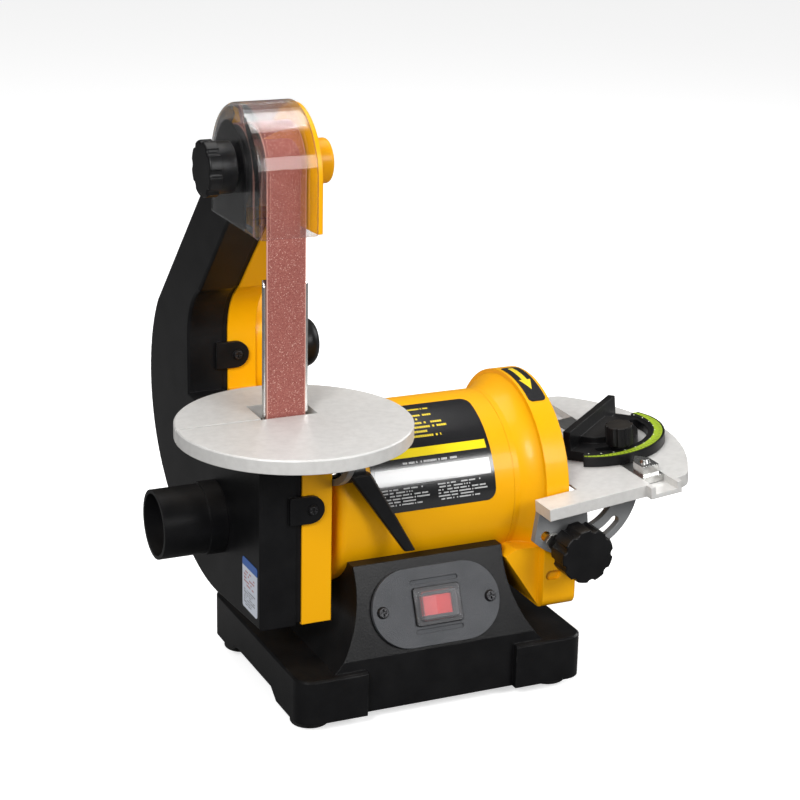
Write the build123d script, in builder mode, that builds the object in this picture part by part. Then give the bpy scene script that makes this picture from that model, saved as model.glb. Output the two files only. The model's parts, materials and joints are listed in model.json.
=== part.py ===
"""Belt disc sander: a bench machine with a 25 x 762 mm belt and a 125 mm disc.

Millimetres, +Z up. X runs along the motor axis (belt at -X, disc at +X) and the
operator stands at -Y. The origin is on the bench, midway between the four feet.
"""
import os
from math import asin, atan2, cos, degrees, hypot, radians, sin

from build123d import *

os.makedirs("parts", exist_ok=True)

# ---------------------------------------------------------------- driving sizes
GAP = 0.4                 # play between a moving piece and what stands beside it
RUN = 0.05                # radial play of a shaft in its bearing
AXIS_Z = 130.0            # motor axis above the bench

# belt side
BELT_X = -96.5            # middle of the belt
BELT_W, BELT_T = 25.4, 1.0
BELT_PLAY = 0.3           # between belt and wheels
WHEEL_W = 27.0
DRIVE_R, IDLER_R = 45.0, 25.0
TOP_Y, TOP_Z = -20.0, 356.0       # top wheel axis
IDLE_Y, IDLE_Z = 106.0, 188.1     # rear wheel axis: the belt is then 762 mm long
ARM_Y, ARM_Z = 125.0, 150.0       # pivot of the tension arm
COVER_X, SEAM_X = -119.0, -95.0   # outer face of the belt cover, and its inner edge
RIM_X, FRAME_X = -91.0, -71.0     # inner edge and outer face of the belt frame
SHELL, WALL = 3.0, 4.0
FRONT_Y, LEDGE_Z = -60.0, 184.0   # front face and upper ledge of cover and frame
HEAD_X, HEAD_WALL = -79.0, 3.0    # outer face of the frame's head, and its thickness
GUARD_X = -121.6          # outer face of the clear guard
PORT_Y, PORT_Z, PORT_R, PORT_X = 20.0, 116.0, 23.0, -162.0
TRACK_Y, TRACK_Z = 104.0, 202.0   # tracking knob axis

# belt table
TABLE_X, TABLE_Y, TABLE_Z = -95.0, -56.0, 203.0
TABLE_R, TABLE_T = 74.0, 9.0
TILT_Y = -46.3            # the belt table tilts about the belt's face at its top
TILT_R, TILT_AT = 40.0, -103.0    # clamp stud's place in the curved slot
STUD_Y = TILT_Y + TILT_R * cos(radians(TILT_AT))
STUD_Z = TABLE_Z + TILT_R * sin(radians(TILT_AT))

# motor and disc side
MOTOR_X0, MOTOR_X1, MOTOR_R, MOTOR_WALL = -64.0, 60.0, 57.0, 4.0
NECK_R, SEAT_R, SHAFT_R = 30.0, 16.0, 7.0
RING_X0, RING_X1, RING_R = 77.5, 94.0, 68.5
GUARD_X1, GUARD_Z0, GUARD_Z1 = 101.5, 53.0, 117.0
DISC_R, FACE_X = 62.5, 96.0       # disc radius and its working face

# disc table, set a few degrees above level
PIVOT_X, PIVOT_Z, SET_ANGLE = 98.5, 136.6, 6.0
DT_T, DT_HALF, DT_ARC_X, DT_ARC_R = 8.0, 91.0, -44.5, 147.0
DT_SLOT_X, DT_SLOT_W, DT_SLOT_D = 52.0, 16.4, 5.0
ARC_R, ARC_PINS = 37.0, (-97.0, -122.0)
TRUNNION_Y, TRUNNION_T = 69.0, 5.0

# miter gauge, in the disc table's own frame
HEAD_Y, HEAD_R, HEAD_TURN = -6.0, 46.0, 36.0
FENCE_L, FENCE_H, FENCE_T = 74.0, 20.0, 5.0
CLAMP_R = 31.0            # miter knob's distance from the head's pivot

# base and switch panel
BASE_X, BASE_Y0, BASE_Y1, BASE_Z0, BASE_Z1 = 102.0, -85.0, 80.0, 8.0, 38.0
ARCH_H = 6.5              # rise of the arch between the feet
FOOT_X, FOOT_Y, FOOT_R = 86.0, 62.0, 13.0
PED_X0, PED_X1, PED_Z = -55.0, 51.0, 100.0
SLOPE_TOP, SLOPE_FOOT = (-57.4, 100.0), (-80.0, 45.0)
LEAN = atan2(SLOPE_TOP[0] - SLOPE_FOOT[0], SLOPE_TOP[1] - SLOPE_FOOT[1])
PANEL_X, PANEL_Z = -2.0, 70.6
PANEL_Y = SLOPE_TOP[0] - (PED_Z - PANEL_Z) * sin(LEAN) / cos(LEAN)
ROCKER_SET = -8.0         # the rocker rests on its off side

# frames for pieces that don't lie along X, Y and Z
TILT = radians(SET_ANGLE)
TABLE_DIR, TABLE_UP = Vector(cos(TILT), 0, sin(TILT)), Vector(-sin(TILT), 0, cos(TILT))
DISC_TABLE = Plane(origin=(PIVOT_X, 0, PIVOT_Z), x_dir=TABLE_DIR, z_dir=TABLE_UP)
PANEL = Plane(origin=(PANEL_X, PANEL_Y, PANEL_Z), x_dir=(1, 0, 0), z_dir=(0, -cos(LEAN), sin(LEAN)))
HEAD_DIR = TABLE_DIR * cos(radians(HEAD_TURN)) + Vector(0, sin(radians(HEAD_TURN)), 0)
HEAD_AT = Vector(PIVOT_X, HEAD_Y, PIVOT_Z) + TABLE_DIR * DT_SLOT_X
HEAD = Plane(origin=HEAD_AT, x_dir=HEAD_DIR, z_dir=TABLE_UP)


def save(builder, label):
    """Label one node and write its STEP file."""
    builder.part.label = label
    export_step(builder.part, f"parts/{label}.step")


def belt_path(extra):
    """Straight runs and wrap arcs of the belt, as (arc start, arc middle, arc end, next start)."""
    wheels = [(0, AXIS_Z, DRIVE_R + extra), (IDLE_Y, IDLE_Z, IDLER_R + extra),
              (TOP_Y, TOP_Z, IDLER_R + extra)]
    runs = []
    for (y0, z0, r0), (y1, z1, r1) in zip(wheels, wheels[1:] + wheels[:1]):
        turn = atan2(z1 - z0, y1 - y0) + asin((r0 - r1) / hypot(y1 - y0, z1 - z0))
        runs.append((turn, (y0 + r0 * sin(turn), z0 - r0 * cos(turn)),
                     (y1 + r1 * sin(turn), z1 - r1 * cos(turn))))
    steps = []
    for i, (y, z, r) in enumerate(wheels):
        start, end = runs[i - 1], runs[i]
        middle = start[0] + ((end[0] - start[0]) % radians(360)) / 2
        steps.append((start[2], (y + r * sin(middle), z - r * cos(middle)), end[1], end[2]))
    return steps


def arc_slot(radius, width, start, sweep):
    """Sketch of a curved slot with round ends, drawn about the origin."""
    middle, end, half = start + sweep / 2, start + sweep, width / 2
    past = degrees(half / radius)

    def at(r, angle):
        return (r * cos(radians(angle)), r * sin(radians(angle)))

    with BuildSketch() as slot:
        with BuildLine():
            ThreePointArc(at(radius - half, start), at(radius - half, middle), at(radius - half, end))
            ThreePointArc(at(radius - half, end), at(radius, end + past), at(radius + half, end))
            ThreePointArc(at(radius + half, end), at(radius + half, middle), at(radius + half, start))
            ThreePointArc(at(radius + half, start), at(radius, start - past), at(radius - half, start))
        make_face()
    return slot.sketch


def fluted(radius, count, depth):
    """Round knob outline with shallow flutes, at the current locations."""
    Circle(radius)
    with PolarLocations(radius + depth, count):
        Circle(2 * depth, mode=Mode.SUBTRACT)


# --------------------------------------------------------- side outlines, as (y, z)
def arm_outline(front_y, front_z, crown_z):
    """Outline of the belt arm: foot, ledge, throat, head and back."""
    with BuildSketch(Plane.YZ) as outline:
        with BuildLine():
            Polyline((11, 62), (FRONT_Y, 67), (FRONT_Y, 171), (-50, LEDGE_Z), (75, LEDGE_Z), (75, 222))
            ThreePointArc((75, 222), (69, 244), (52, 260))
            Polyline((52, 260), (-4, 318), (front_y, front_z), (front_y, 352))
            ThreePointArc((front_y, 352), ((front_y + 21) / 2, crown_z), (21, 352))
            Line((21, 352), (139, 233))
            ThreePointArc((139, 233), (158, 184), (132, 108))
            Line((132, 108), (92, 78))
            ThreePointArc((92, 78), (56, 64), (11, 62))
        make_face()
    return outline.sketch_local


COVER_OUTLINE = arm_outline(-40, 322, 383)
FRAME_OUTLINE = arm_outline(-61, 320, 393)

# ------------------------------------------------------------------------ base
with BuildPart() as base:
    with BuildSketch(Plane.XY.offset(BASE_Z0)):
        with Locations((0, (BASE_Y0 + BASE_Y1) / 2)):
            Rectangle(2 * BASE_X, BASE_Y1 - BASE_Y0)
        fillet(vertices(), 12)
    extrude(amount=BASE_Z1 - BASE_Z0)
    chamfer(faces().sort_by(Axis.Z)[-1].edges(), 1.2)
    # pedestal with flared sides
    with BuildSketch(Plane.XZ.offset(-SLOPE_FOOT[0])):
        with BuildLine():
            Line((PED_X0, PED_Z), (PED_X1, PED_Z))
            ThreePointArc((PED_X1, PED_Z), (55, 66), (74, BASE_Z1 - 2))
            Line((74, BASE_Z1 - 2), (-78, BASE_Z1 - 2))
            ThreePointArc((-78, BASE_Z1 - 2), (-59, 66), (PED_X0, PED_Z))
        make_face()
    extrude(amount=SLOPE_FOOT[0] - 60)
    # its front leans back, and the base is set in below it
    with BuildSketch(Plane.YZ.offset(-BASE_X)):
        with BuildLine():
            Polyline((SLOPE_TOP[0], PED_Z + 2), SLOPE_TOP, SLOPE_FOOT, (-81, 45), (-81, PED_Z + 2),
                     close=True)
        make_face()
    extrude(amount=2 * BASE_X, mode=Mode.SUBTRACT)
    with Locations(((PED_X0 + PED_X1) / 2, SLOPE_FOOT[0] - 5, (BASE_Z0 + BASE_Z1) / 2)):
        Box(PED_X1 - PED_X0, 10, BASE_Z1 - BASE_Z0 + 2, mode=Mode.SUBTRACT)
    # hollow from below
    with BuildSketch(Plane.XY.offset(BASE_Z0)):
        with Locations((0, (BASE_Y0 + BASE_Y1 + 6) / 2)):
            Rectangle(2 * (BASE_X - WALL), BASE_Y1 - BASE_Y0 - 6 - 2 * WALL)
        chamfer(vertices(), 9)
    extrude(amount=BASE_Z1 - BASE_Z0 - WALL, mode=Mode.SUBTRACT)
    with BuildSketch(Plane.YZ.offset(PED_X0 + 5)):
        with BuildLine():
            Polyline((-74, BASE_Z1 - 5), (-74, 46), (-54, 95), (56, 95), (56, BASE_Z1 - 5), close=True)
        make_face()
        with Locations((0, AXIS_Z)):
            Circle(MOTOR_R + WALL + 0.5, mode=Mode.SUBTRACT)
    extrude(amount=PED_X1 - PED_X0 - 10, mode=Mode.SUBTRACT)
    # saddle
    with BuildSketch(Plane.YZ.offset(-BASE_X)):
        with Locations((0, AXIS_Z)):
            Circle(MOTOR_R)
    extrude(amount=2 * BASE_X, mode=Mode.SUBTRACT)
    # arches between the feet
    with BuildSketch(Plane.YZ.offset(-BASE_X)):
        with BuildLine():
            Polyline((-45, BASE_Z0 - 1), (-34, BASE_Z0 + ARCH_H), (33, BASE_Z0 + ARCH_H), (44, BASE_Z0 - 1),
                     close=True)
        make_face()
    extrude(amount=2 * BASE_X, mode=Mode.SUBTRACT)
    # screw columns for the feet
    with BuildSketch(Plane.XY.offset(BASE_Z0)):
        with GridLocations(2 * FOOT_X, 2 * FOOT_Y, 2, 2):
            Circle(8)
    extrude(amount=BASE_Z1 - BASE_Z0 - 2)
    with BuildSketch(Plane.XY.offset(BASE_Z0)):
        with GridLocations(2 * FOOT_X, 2 * FOOT_Y, 2, 2):
            Circle(2.5)
    extrude(amount=16, mode=Mode.SUBTRACT)
    # switch cut-out, motor bolt holes and cord hole
    with BuildSketch(PANEL.offset(-14)):
        Rectangle(28, 20)
        with GridLocations(76.4, 0, 2, 1):
            Circle(1.9)
    extrude(amount=16, mode=Mode.SUBTRACT)
    with BuildSketch(Plane.XY.offset(60)):
        with GridLocations(60, 0, 2, 1):
            Circle(2.5)
    extrude(amount=20, mode=Mode.SUBTRACT)
    with BuildSketch(Plane.XZ.offset(-62)):
        with Locations((32, 52)):
            Circle(6)
    extrude(amount=10, mode=Mode.SUBTRACT)
save(base, "base")

with BuildPart() as bottom_plate:
    with BuildSketch(Plane.XY.offset(BASE_Z0 + ARCH_H + 1)):
        with Locations((0, (BASE_Y0 + BASE_Y1 + 6) / 2)):
            Rectangle(2 * (BASE_X - WALL) - 1, BASE_Y1 - BASE_Y0 - 7 - 2 * WALL)
        chamfer(vertices(), 9)
        with GridLocations(2 * FOOT_X, 2 * FOOT_Y, 2, 2):
            Circle(8.5, mode=Mode.SUBTRACT)
        with GridLocations(22, 0, 5, 1):
            SlotOverall(50, 5, rotation=90, mode=Mode.SUBTRACT)
    extrude(amount=1.5)
save(bottom_plate, "bottom_plate")

with BuildPart() as feet:
    with BuildSketch(Plane.XY):
        with GridLocations(2 * FOOT_X, 2 * FOOT_Y, 2, 2):
            Circle(FOOT_R)
    extrude(amount=BASE_Z0, taper=8)
    fillet(edges().filter_by(GeomType.CIRCLE).group_by(Axis.Z)[0], 1.5)
    with BuildSketch(Plane.XY):
        with GridLocations(2 * FOOT_X, 2 * FOOT_Y, 2, 2):
            Circle(5)
    extrude(amount=4, mode=Mode.SUBTRACT)
    with BuildSketch(Plane.XY):
        with GridLocations(2 * FOOT_X, 2 * FOOT_Y, 2, 2):
            Circle(2.5)
    extrude(amount=BASE_Z0, mode=Mode.SUBTRACT)
save(feet, "feet")

with BuildPart() as base_screws:
    with BuildSketch(Plane.XY.offset(1.4)):
        with GridLocations(2 * FOOT_X, 2 * FOOT_Y, 2, 2):
            Circle(4.5)
    extrude(amount=2.6)
    with BuildSketch(Plane.XY.offset(3)):
        with GridLocations(2 * FOOT_X, 2 * FOOT_Y, 2, 2):
            Circle(2.5)
    extrude(amount=19)
    # bolts that hold the motor down
    with BuildSketch(Plane.XY.offset(64)):
        with GridLocations(60, 0, 2, 1):
            RegularPolygon(5, 6)
    extrude(amount=4.4)
    with BuildSketch(Plane.XY.offset(66)):
        with GridLocations(60, 0, 2, 1):
            Circle(2.5)
    extrude(amount=10)
save(base_screws, "base_screws")

with BuildPart() as cord_gland:
    with BuildSketch(Plane.XZ.offset(-56)):
        with Locations((32, 52)):
            Circle(6)
    extrude(amount=-6)
    with BuildSketch(Plane.XZ.offset(-60)):
        with Locations((32, 52)):
            RegularPolygon(9, 6)
    extrude(amount=-6)
    with BuildSketch(Plane.XZ.offset(-66)):
        with Locations((32, 52)):
            Circle(7.5)
    extrude(amount=-9, taper=8)
    with BuildSketch(Plane.XZ.offset(-56)):
        with Locations((32, 52)):
            Circle(3.3)
    extrude(amount=-20, mode=Mode.SUBTRACT)
save(cord_gland, "cord_gland")

with BuildPart() as capacitor:
    with BuildSketch(Plane.YZ.offset(-46)):
        with Locations((24, 51)):
            Circle(13)
    extrude(amount=52)
    fillet(edges().filter_by(GeomType.CIRCLE), 1.5)
save(capacitor, "capacitor")

# ---------------------------------------------------------------- switch panel
with BuildPart() as switch_plate:
    with BuildSketch(PANEL):
        SlotOverall(90, 51)
    extrude(amount=3)
    with BuildSketch(PANEL):
        Rectangle(28, 20)
        with GridLocations(76.4, 0, 2, 1):
            Circle(2.2)
    extrude(amount=3, mode=Mode.SUBTRACT)
    with BuildSketch(PANEL.offset(1.8)):
        with GridLocations(0, 32, 1, 2):
            SlotOverall(34, 3)
    extrude(amount=1.2, mode=Mode.SUBTRACT)
save(switch_plate, "switch_plate")

with BuildPart() as plate_screws:
    with BuildSketch(PANEL.offset(-8)):
        with GridLocations(76.4, 0, 2, 1):
            Circle(1.9)
    extrude(amount=11)
    with BuildSketch(PANEL.offset(3)):
        with GridLocations(76.4, 0, 2, 1):
            Circle(4)
    extrude(amount=2, taper=25)
    with BuildSketch(PANEL.offset(4)):
        with GridLocations(76.4, 0, 2, 1):
            Rectangle(4.4, 0.9)
            Rectangle(0.9, 4.4)
    extrude(amount=2, mode=Mode.SUBTRACT)
save(plate_screws, "plate_screws")

with BuildPart() as switch_body:
    with BuildSketch(PANEL.offset(-20)):
        Rectangle(28, 20)
    extrude(amount=23)
    with BuildSketch(PANEL.offset(3)):
        RectangleRounded(33, 25, 2)
    extrude(amount=1.6)
    with BuildSketch(PANEL.offset(-7)):
        Rectangle(21, 13.5)
    extrude(amount=20, mode=Mode.SUBTRACT)
    with BuildSketch(PANEL.offset(-26)):
        with GridLocations(8, 0, 3, 1):
            Rectangle(1, 6)
    extrude(amount=6)
    # bearings of the rocker's pins
    with BuildSketch(Plane(origin=PANEL.origin - PANEL.y_dir * 8, x_dir=(1, 0, 0), z_dir=PANEL.y_dir)):
        Circle(1.5 + RUN)
    extrude(amount=16, mode=Mode.SUBTRACT)
save(switch_body, "switch_body")

ROCKER_DIR = Vector(cos(radians(ROCKER_SET)), 0, 0) + PANEL.z_dir * -sin(radians(ROCKER_SET))
ROCKER = Plane(origin=PANEL.origin, x_dir=ROCKER_DIR, z_dir=ROCKER_DIR.cross(PANEL.y_dir))
with BuildPart() as rocker:
    with BuildSketch(Plane(origin=ROCKER.origin - ROCKER.y_dir * 6.2, x_dir=ROCKER.x_dir,
                           z_dir=ROCKER.y_dir)):
        with BuildLine():
            Polyline((-9.4, -5.6), (0, -4.2), (9.4, -5.6), (9.4, 2), (4, 5), (-4, 5), (-9.4, 2), close=True)
        make_face()
    extrude(amount=12.4)
    with BuildSketch(Plane(origin=ROCKER.origin - ROCKER.y_dir * 7.8, x_dir=ROCKER.x_dir,
                           z_dir=ROCKER.y_dir)):
        Circle(1.5)
    extrude(amount=15.6)
save(rocker, "rocker")

with BuildPart() as switch_boot:
    with BuildSketch(PANEL.offset(4.6)):
        RectangleRounded(32, 24, 2)
    extrude(amount=1)
    with BuildSketch(PANEL.offset(5.6)):
        RectangleRounded(28, 20, 3)
    extrude(amount=4.6, taper=12)
    with BuildSketch(PANEL.offset(4.6)):
        RectangleRounded(25.6, 17.6, 2)
    extrude(amount=4.5, taper=10, mode=Mode.SUBTRACT)
save(switch_boot, "switch_boot")

# ----------------------------------------------------------------------- motor
with BuildPart() as motor_housing:
    with BuildSketch(Plane.YZ.offset(MOTOR_X0)):
        with Locations((0, AXIS_Z)):
            Circle(MOTOR_R)
    extrude(amount=MOTOR_X1 - MOTOR_X0)
    fillet(edges().filter_by(GeomType.CIRCLE).sort_by(Axis.X)[0], 6)
    with BuildSketch(Plane.YZ.offset(MOTOR_X0 + WALL)):
        with Locations((0, AXIS_Z)):
            Circle(MOTOR_R - MOTOR_WALL)
    extrude(amount=MOTOR_X1 - MOTOR_X0, mode=Mode.SUBTRACT)
    # neck to the belt frame and bearing seat
    with BuildSketch(Plane.YZ.offset(FRAME_X)):
        with Locations((0, AXIS_Z)):
            Circle(NECK_R)
    extrude(amount=MOTOR_X0 - FRAME_X + 2)
    with BuildSketch(Plane.YZ.offset(MOTOR_X0)):
        with Locations((0, AXIS_Z)):
            Circle(SEAT_R + WALL)
    extrude(amount=16)
    with BuildSketch(Plane.YZ.offset(MOTOR_X0 + 6)):
        with Locations((0, AXIS_Z)):
            Circle(SEAT_R)
    extrude(amount=10, mode=Mode.SUBTRACT)
    with BuildSketch(Plane.YZ.offset(FRAME_X)):
        with Locations((0, AXIS_Z)):
            Circle(SHAFT_R + 2)
        with Locations((0, AXIS_Z)):
            with PolarLocations(22, 4, 45):
                Circle(2.5)
    extrude(amount=14, mode=Mode.SUBTRACT)
    with BuildSketch(Plane.XY.offset(70)):
        with GridLocations(60, 0, 2, 1):
            Circle(2.5)
    extrude(amount=10, mode=Mode.SUBTRACT)
save(motor_housing, "motor_housing")

with BuildPart() as motor_bearings:
    for x in (MOTOR_X0 + 6, 68):
        with BuildSketch(Plane.YZ.offset(x)):
            with Locations((0, AXIS_Z)):
                Circle(SEAT_R)
                Circle(SHAFT_R + RUN, mode=Mode.SUBTRACT)
        extrude(amount=10)
save(motor_bearings, "motor_bearings")

with BuildPart() as stator:
    with BuildSketch(Plane.YZ.offset(-32)):
        with Locations((0, AXIS_Z)):
            Circle(MOTOR_R - MOTOR_WALL)
            Circle(34, mode=Mode.SUBTRACT)
            with PolarLocations(43, 12):
                RectangleRounded(9, 6, 1.5, mode=Mode.SUBTRACT)
    extrude(amount=64)
save(stator, "stator")

with BuildPart() as windings:
    for x in (-43, 32.5):
        with BuildSketch(Plane.YZ.offset(x)):
            with Locations((0, AXIS_Z)):
                Circle(49)
                Circle(38, mode=Mode.SUBTRACT)
        extrude(amount=10.5)
    fillet(edges().filter_by(GeomType.CIRCLE), 3)
save(windings, "windings")

with BuildPart() as motor_shaft:
    with BuildSketch(Plane.YZ.offset(-113)):
        with Locations((0, AXIS_Z)):
            Circle(SHAFT_R)
    extrude(amount=203)
    chamfer(edges().filter_by(GeomType.CIRCLE), 0.8)
save(motor_shaft, "motor_shaft")

with BuildPart() as rotor:
    with BuildSketch(Plane.YZ.offset(-32)):
        with Locations((0, AXIS_Z)):
            Circle(33.2)
            Circle(SHAFT_R, mode=Mode.SUBTRACT)
    extrude(amount=64)
save(rotor, "rotor")

with BuildPart() as cooling_fan:
    with BuildSketch(Plane.YZ.offset(46)):
        with Locations((0, AXIS_Z)):
            Circle(12)
            Circle(SHAFT_R, mode=Mode.SUBTRACT)
            with PolarLocations(28, 8):
                Rectangle(34, 2)
    extrude(amount=10)
    with BuildSketch(Plane.YZ.offset(46)):
        with Locations((0, AXIS_Z)):
            Circle(44)
            Circle(SHAFT_R, mode=Mode.SUBTRACT)
    extrude(amount=1.5)
save(cooling_fan, "cooling_fan")

with BuildPart() as motor_label:
    with BuildSketch(Plane.YZ.offset(-40)):
        with Locations((0, AXIS_Z)):
            Circle(MOTOR_R + 0.4)
            Circle(MOTOR_R, mode=Mode.SUBTRACT)
    extrude(amount=86)
    facing = radians(42)
    with BuildSketch(Plane(origin=(3, 0, AXIS_Z), x_dir=(1, 0, 0), z_dir=(0, -cos(facing), sin(facing)))):
        RectangleRounded(86, 73, 6)
    extrude(amount=70, mode=Mode.INTERSECT)
save(motor_label, "motor_label")

# ------------------------------------------------------------------ disc side
with BuildPart() as disc_housing:
    with BuildSketch(Plane.XZ):
        with BuildLine():
            Polyline((MOTOR_X1, AXIS_Z), (MOTOR_X1, AXIS_Z + MOTOR_R), (64, AXIS_Z + MOTOR_R))
            ThreePointArc((64, AXIS_Z + MOTOR_R), (71, AXIS_Z + 60), (RING_X0, AXIS_Z + RING_R - 3))
            Polyline((RING_X0, AXIS_Z + RING_R - 3), (RING_X0, AXIS_Z + RING_R),
                     (RING_X1, AXIS_Z + RING_R), (RING_X1, AXIS_Z), (MOTOR_X1, AXIS_Z))
        make_face()
    revolve(axis=Axis((0, 0, AXIS_Z), (1, 0, 0)))
    # squared lower half, which guards the disc below the table
    with BuildSketch(Plane.YZ.offset(RING_X0)):
        with Locations((0, (GUARD_Z0 + AXIS_Z) / 2)):
            Rectangle(2 * RING_R, AXIS_Z - GUARD_Z0)
        fillet(vertices().group_by(Axis.Z)[0], 8)
    extrude(amount=RING_X1 - RING_X0)
    with BuildSketch(Plane.YZ.offset(RING_X1)):
        with Locations((0, (GUARD_Z0 + GUARD_Z1) / 2)):
            Rectangle(2 * RING_R, GUARD_Z1 - GUARD_Z0)
        fillet(vertices().group_by(Axis.Z)[0], 8)
    extrude(amount=GUARD_X1 - RING_X1)
    # web that runs down and out from the motor
    with BuildSketch(Plane.XZ.offset(62)):
        with BuildLine():
            Polyline((52, 92), (RING_X0, GUARD_Z0 + 1), (RING_X0, 96), (60, 96), close=True)
        make_face()
    extrude(amount=-124)
    # hollows: motor end, disc side, bearing seat
    with BuildSketch(Plane.YZ.offset(MOTOR_X1 - 12)):
        with Locations((0, AXIS_Z)):
            Circle(MOTOR_R)
    extrude(amount=12, mode=Mode.SUBTRACT)
    with BuildSketch(Plane.XZ):
        with BuildLine():
            Polyline((MOTOR_X1 - 1, AXIS_Z), (MOTOR_X1 - 1, AXIS_Z + 53), (65, AXIS_Z + 54),
                     (75, AXIS_Z + 60), (75, AXIS_Z + SEAT_R + WALL), (66, AXIS_Z + SEAT_R + WALL),
                     (66, AXIS_Z), close=True)
        make_face()
    revolve(axis=Axis((0, 0, AXIS_Z), (1, 0, 0)), mode=Mode.SUBTRACT)
    with BuildSketch(Plane.YZ.offset(81.5)):
        with Locations((0, AXIS_Z)):
            Circle(RING_R - SHELL)
    extrude(amount=17, mode=Mode.SUBTRACT)
    with BuildSketch(Plane.YZ.offset(66)):
        with Locations((0, AXIS_Z)):
            Circle(SEAT_R)
    extrude(amount=12, mode=Mode.SUBTRACT)
    with BuildSketch(Plane.YZ.offset(66)):
        with Locations((0, AXIS_Z)):
            Circle(SHAFT_R + 2)
    extrude(amount=20, mode=Mode.SUBTRACT)
    # trunnion stud holes front and rear, and a spare boss hole
    with BuildSketch(Plane.XZ.offset(RING_R)):
        for angle in ARC_PINS:
            with Locations((PIVOT_X + ARC_R * cos(radians(angle)), PIVOT_Z + ARC_R * sin(radians(angle)))):
                Circle(3)
    extrude(amount=-8, mode=Mode.SUBTRACT)
    with BuildSketch(Plane.XZ.offset(-RING_R)):
        for angle in ARC_PINS:
            with Locations((PIVOT_X + ARC_R * cos(radians(angle)), PIVOT_Z + ARC_R * sin(radians(angle)))):
                Circle(3)
    extrude(amount=8, mode=Mode.SUBTRACT)
    with BuildSketch(Plane.XZ.offset(RING_R)):
        with Locations((85, 77)):
            SlotOverall(11, 6.5)
    extrude(amount=-2.5, mode=Mode.SUBTRACT)
save(disc_housing, "disc_housing")

with BuildPart() as disc_plate:
    with BuildSketch(Plane.YZ.offset(86)):
        with Locations((0, AXIS_Z)):
            Circle(DISC_R)
    extrude(amount=FACE_X - 1.6 - 86)
    with BuildSketch(Plane.YZ.offset(86)):
        with Locations((0, AXIS_Z)):
            Circle(54)
            Circle(18, mode=Mode.SUBTRACT)
            with PolarLocations(36, 6):
                Rectangle(38, 4, mode=Mode.SUBTRACT)
    extrude(amount=4, mode=Mode.SUBTRACT)
    with BuildSketch(Plane.YZ.offset(82.5)):
        with Locations((0, AXIS_Z)):
            Circle(14)
    extrude(amount=4)
    with BuildSketch(Plane.YZ.offset(82)):
        with Locations((0, AXIS_Z)):
            Circle(SHAFT_R)
    extrude(amount=8, mode=Mode.SUBTRACT)
save(disc_plate, "disc_plate")

with BuildPart() as sanding_disc:
    with BuildSketch(Plane.YZ.offset(FACE_X - 1.6)):
        with Locations((0, AXIS_Z)):
            Circle(DISC_R)
    extrude(amount=1.6)
save(sanding_disc, "sanding_disc")

# studs that carry the disc table: front and rear, one to clamp and one to guide
PINS = [(PIVOT_X + ARC_R * cos(radians(a)), PIVOT_Z + ARC_R * sin(radians(a))) for a in ARC_PINS]
with BuildPart() as trunnion_studs:
    for side in (-1, 1):
        with BuildSketch(Plane.XZ.offset(-side * (RING_R - 7))):
            with Locations(*PINS):
                Circle(3)
        extrude(amount=-side * (7 + TRUNNION_T + GAP + 4))
        with BuildSketch(Plane.XZ.offset(-side * (TRUNNION_Y + TRUNNION_T + GAP))):
            with Locations(*PINS[(side - 1) // 2:]):
                RegularPolygon(5.5, 6)
        extrude(amount=-side * 3.6)
save(trunnion_studs, "trunnion_studs")

with BuildPart() as arrow_label:
    with BuildSketch(Plane.YZ.offset(RING_X0 + 2)):
        with Locations((0, AXIS_Z)):
            Circle(RING_R + 0.4)
            Circle(RING_R, mode=Mode.SUBTRACT)
    extrude(amount=RING_X1 - RING_X0 - 4)
    facing = radians(78)
    with BuildSketch(Plane(origin=((RING_X0 + RING_X1) / 2, 0, AXIS_Z), x_dir=(1, 0, 0),
                           z_dir=(0, -cos(facing), sin(facing)))):
        RectangleRounded(12.5, 46, 3)
    extrude(amount=80, mode=Mode.INTERSECT)
save(arrow_label, "arrow_label")

# ------------------------------------------------------------------ disc table
with BuildPart() as disc_table:
    with BuildSketch(DISC_TABLE.offset(-DT_T)):
        with BuildLine():
            corner = DT_ARC_X + (DT_ARC_R ** 2 - DT_HALF ** 2) ** 0.5
            Polyline((corner, DT_HALF), (-31, DT_HALF), (-31, RING_R + 2), (0, RING_R + 2),
                     (0, -RING_R - 2), (-31, -RING_R - 2), (-31, -DT_HALF), (corner, -DT_HALF))
            ThreePointArc((corner, -DT_HALF), (DT_ARC_X + DT_ARC_R, 0), (corner, DT_HALF))
        make_face()
        fillet(vertices().sort_by(Axis.X)[-2:], 12)
    extrude(amount=DT_T)
    # the miter channel runs on a little past the front edge
    with BuildSketch(DISC_TABLE.offset(-DT_T)):
        with Locations((DT_SLOT_X, -DT_HALF - 2)):
            Rectangle(23, 8)
    extrude(amount=DT_T)
    with BuildSketch(DISC_TABLE.offset(-DT_SLOT_D)):
        with Locations((DT_SLOT_X, 0)):
            Rectangle(DT_SLOT_W, 2 * DT_HALF + 20)
    extrude(amount=DT_SLOT_D + 1, mode=Mode.SUBTRACT)
    with BuildSketch(DISC_TABLE.offset(-DT_T)):
        with Locations((6, 0)):
            with GridLocations(44, 154.4, 2, 2):
                Circle(1.5)
    extrude(amount=5, mode=Mode.SUBTRACT)
    # relief under the inner edge, so that the table clears the disc when it tilts
    with BuildSketch(Plane(origin=(PIVOT_X, -RING_R - 3, PIVOT_Z), x_dir=TABLE_DIR, z_dir=(0, -1, 0))):
        with BuildLine():
            Polyline((-1, -1.6), (0, -1.6), (7, -DT_T - 0.1), (-1, -DT_T - 0.1), close=True)
        make_face()
    extrude(amount=-2 * RING_R - 6, mode=Mode.SUBTRACT)
save(disc_table, "disc_table")

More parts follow.
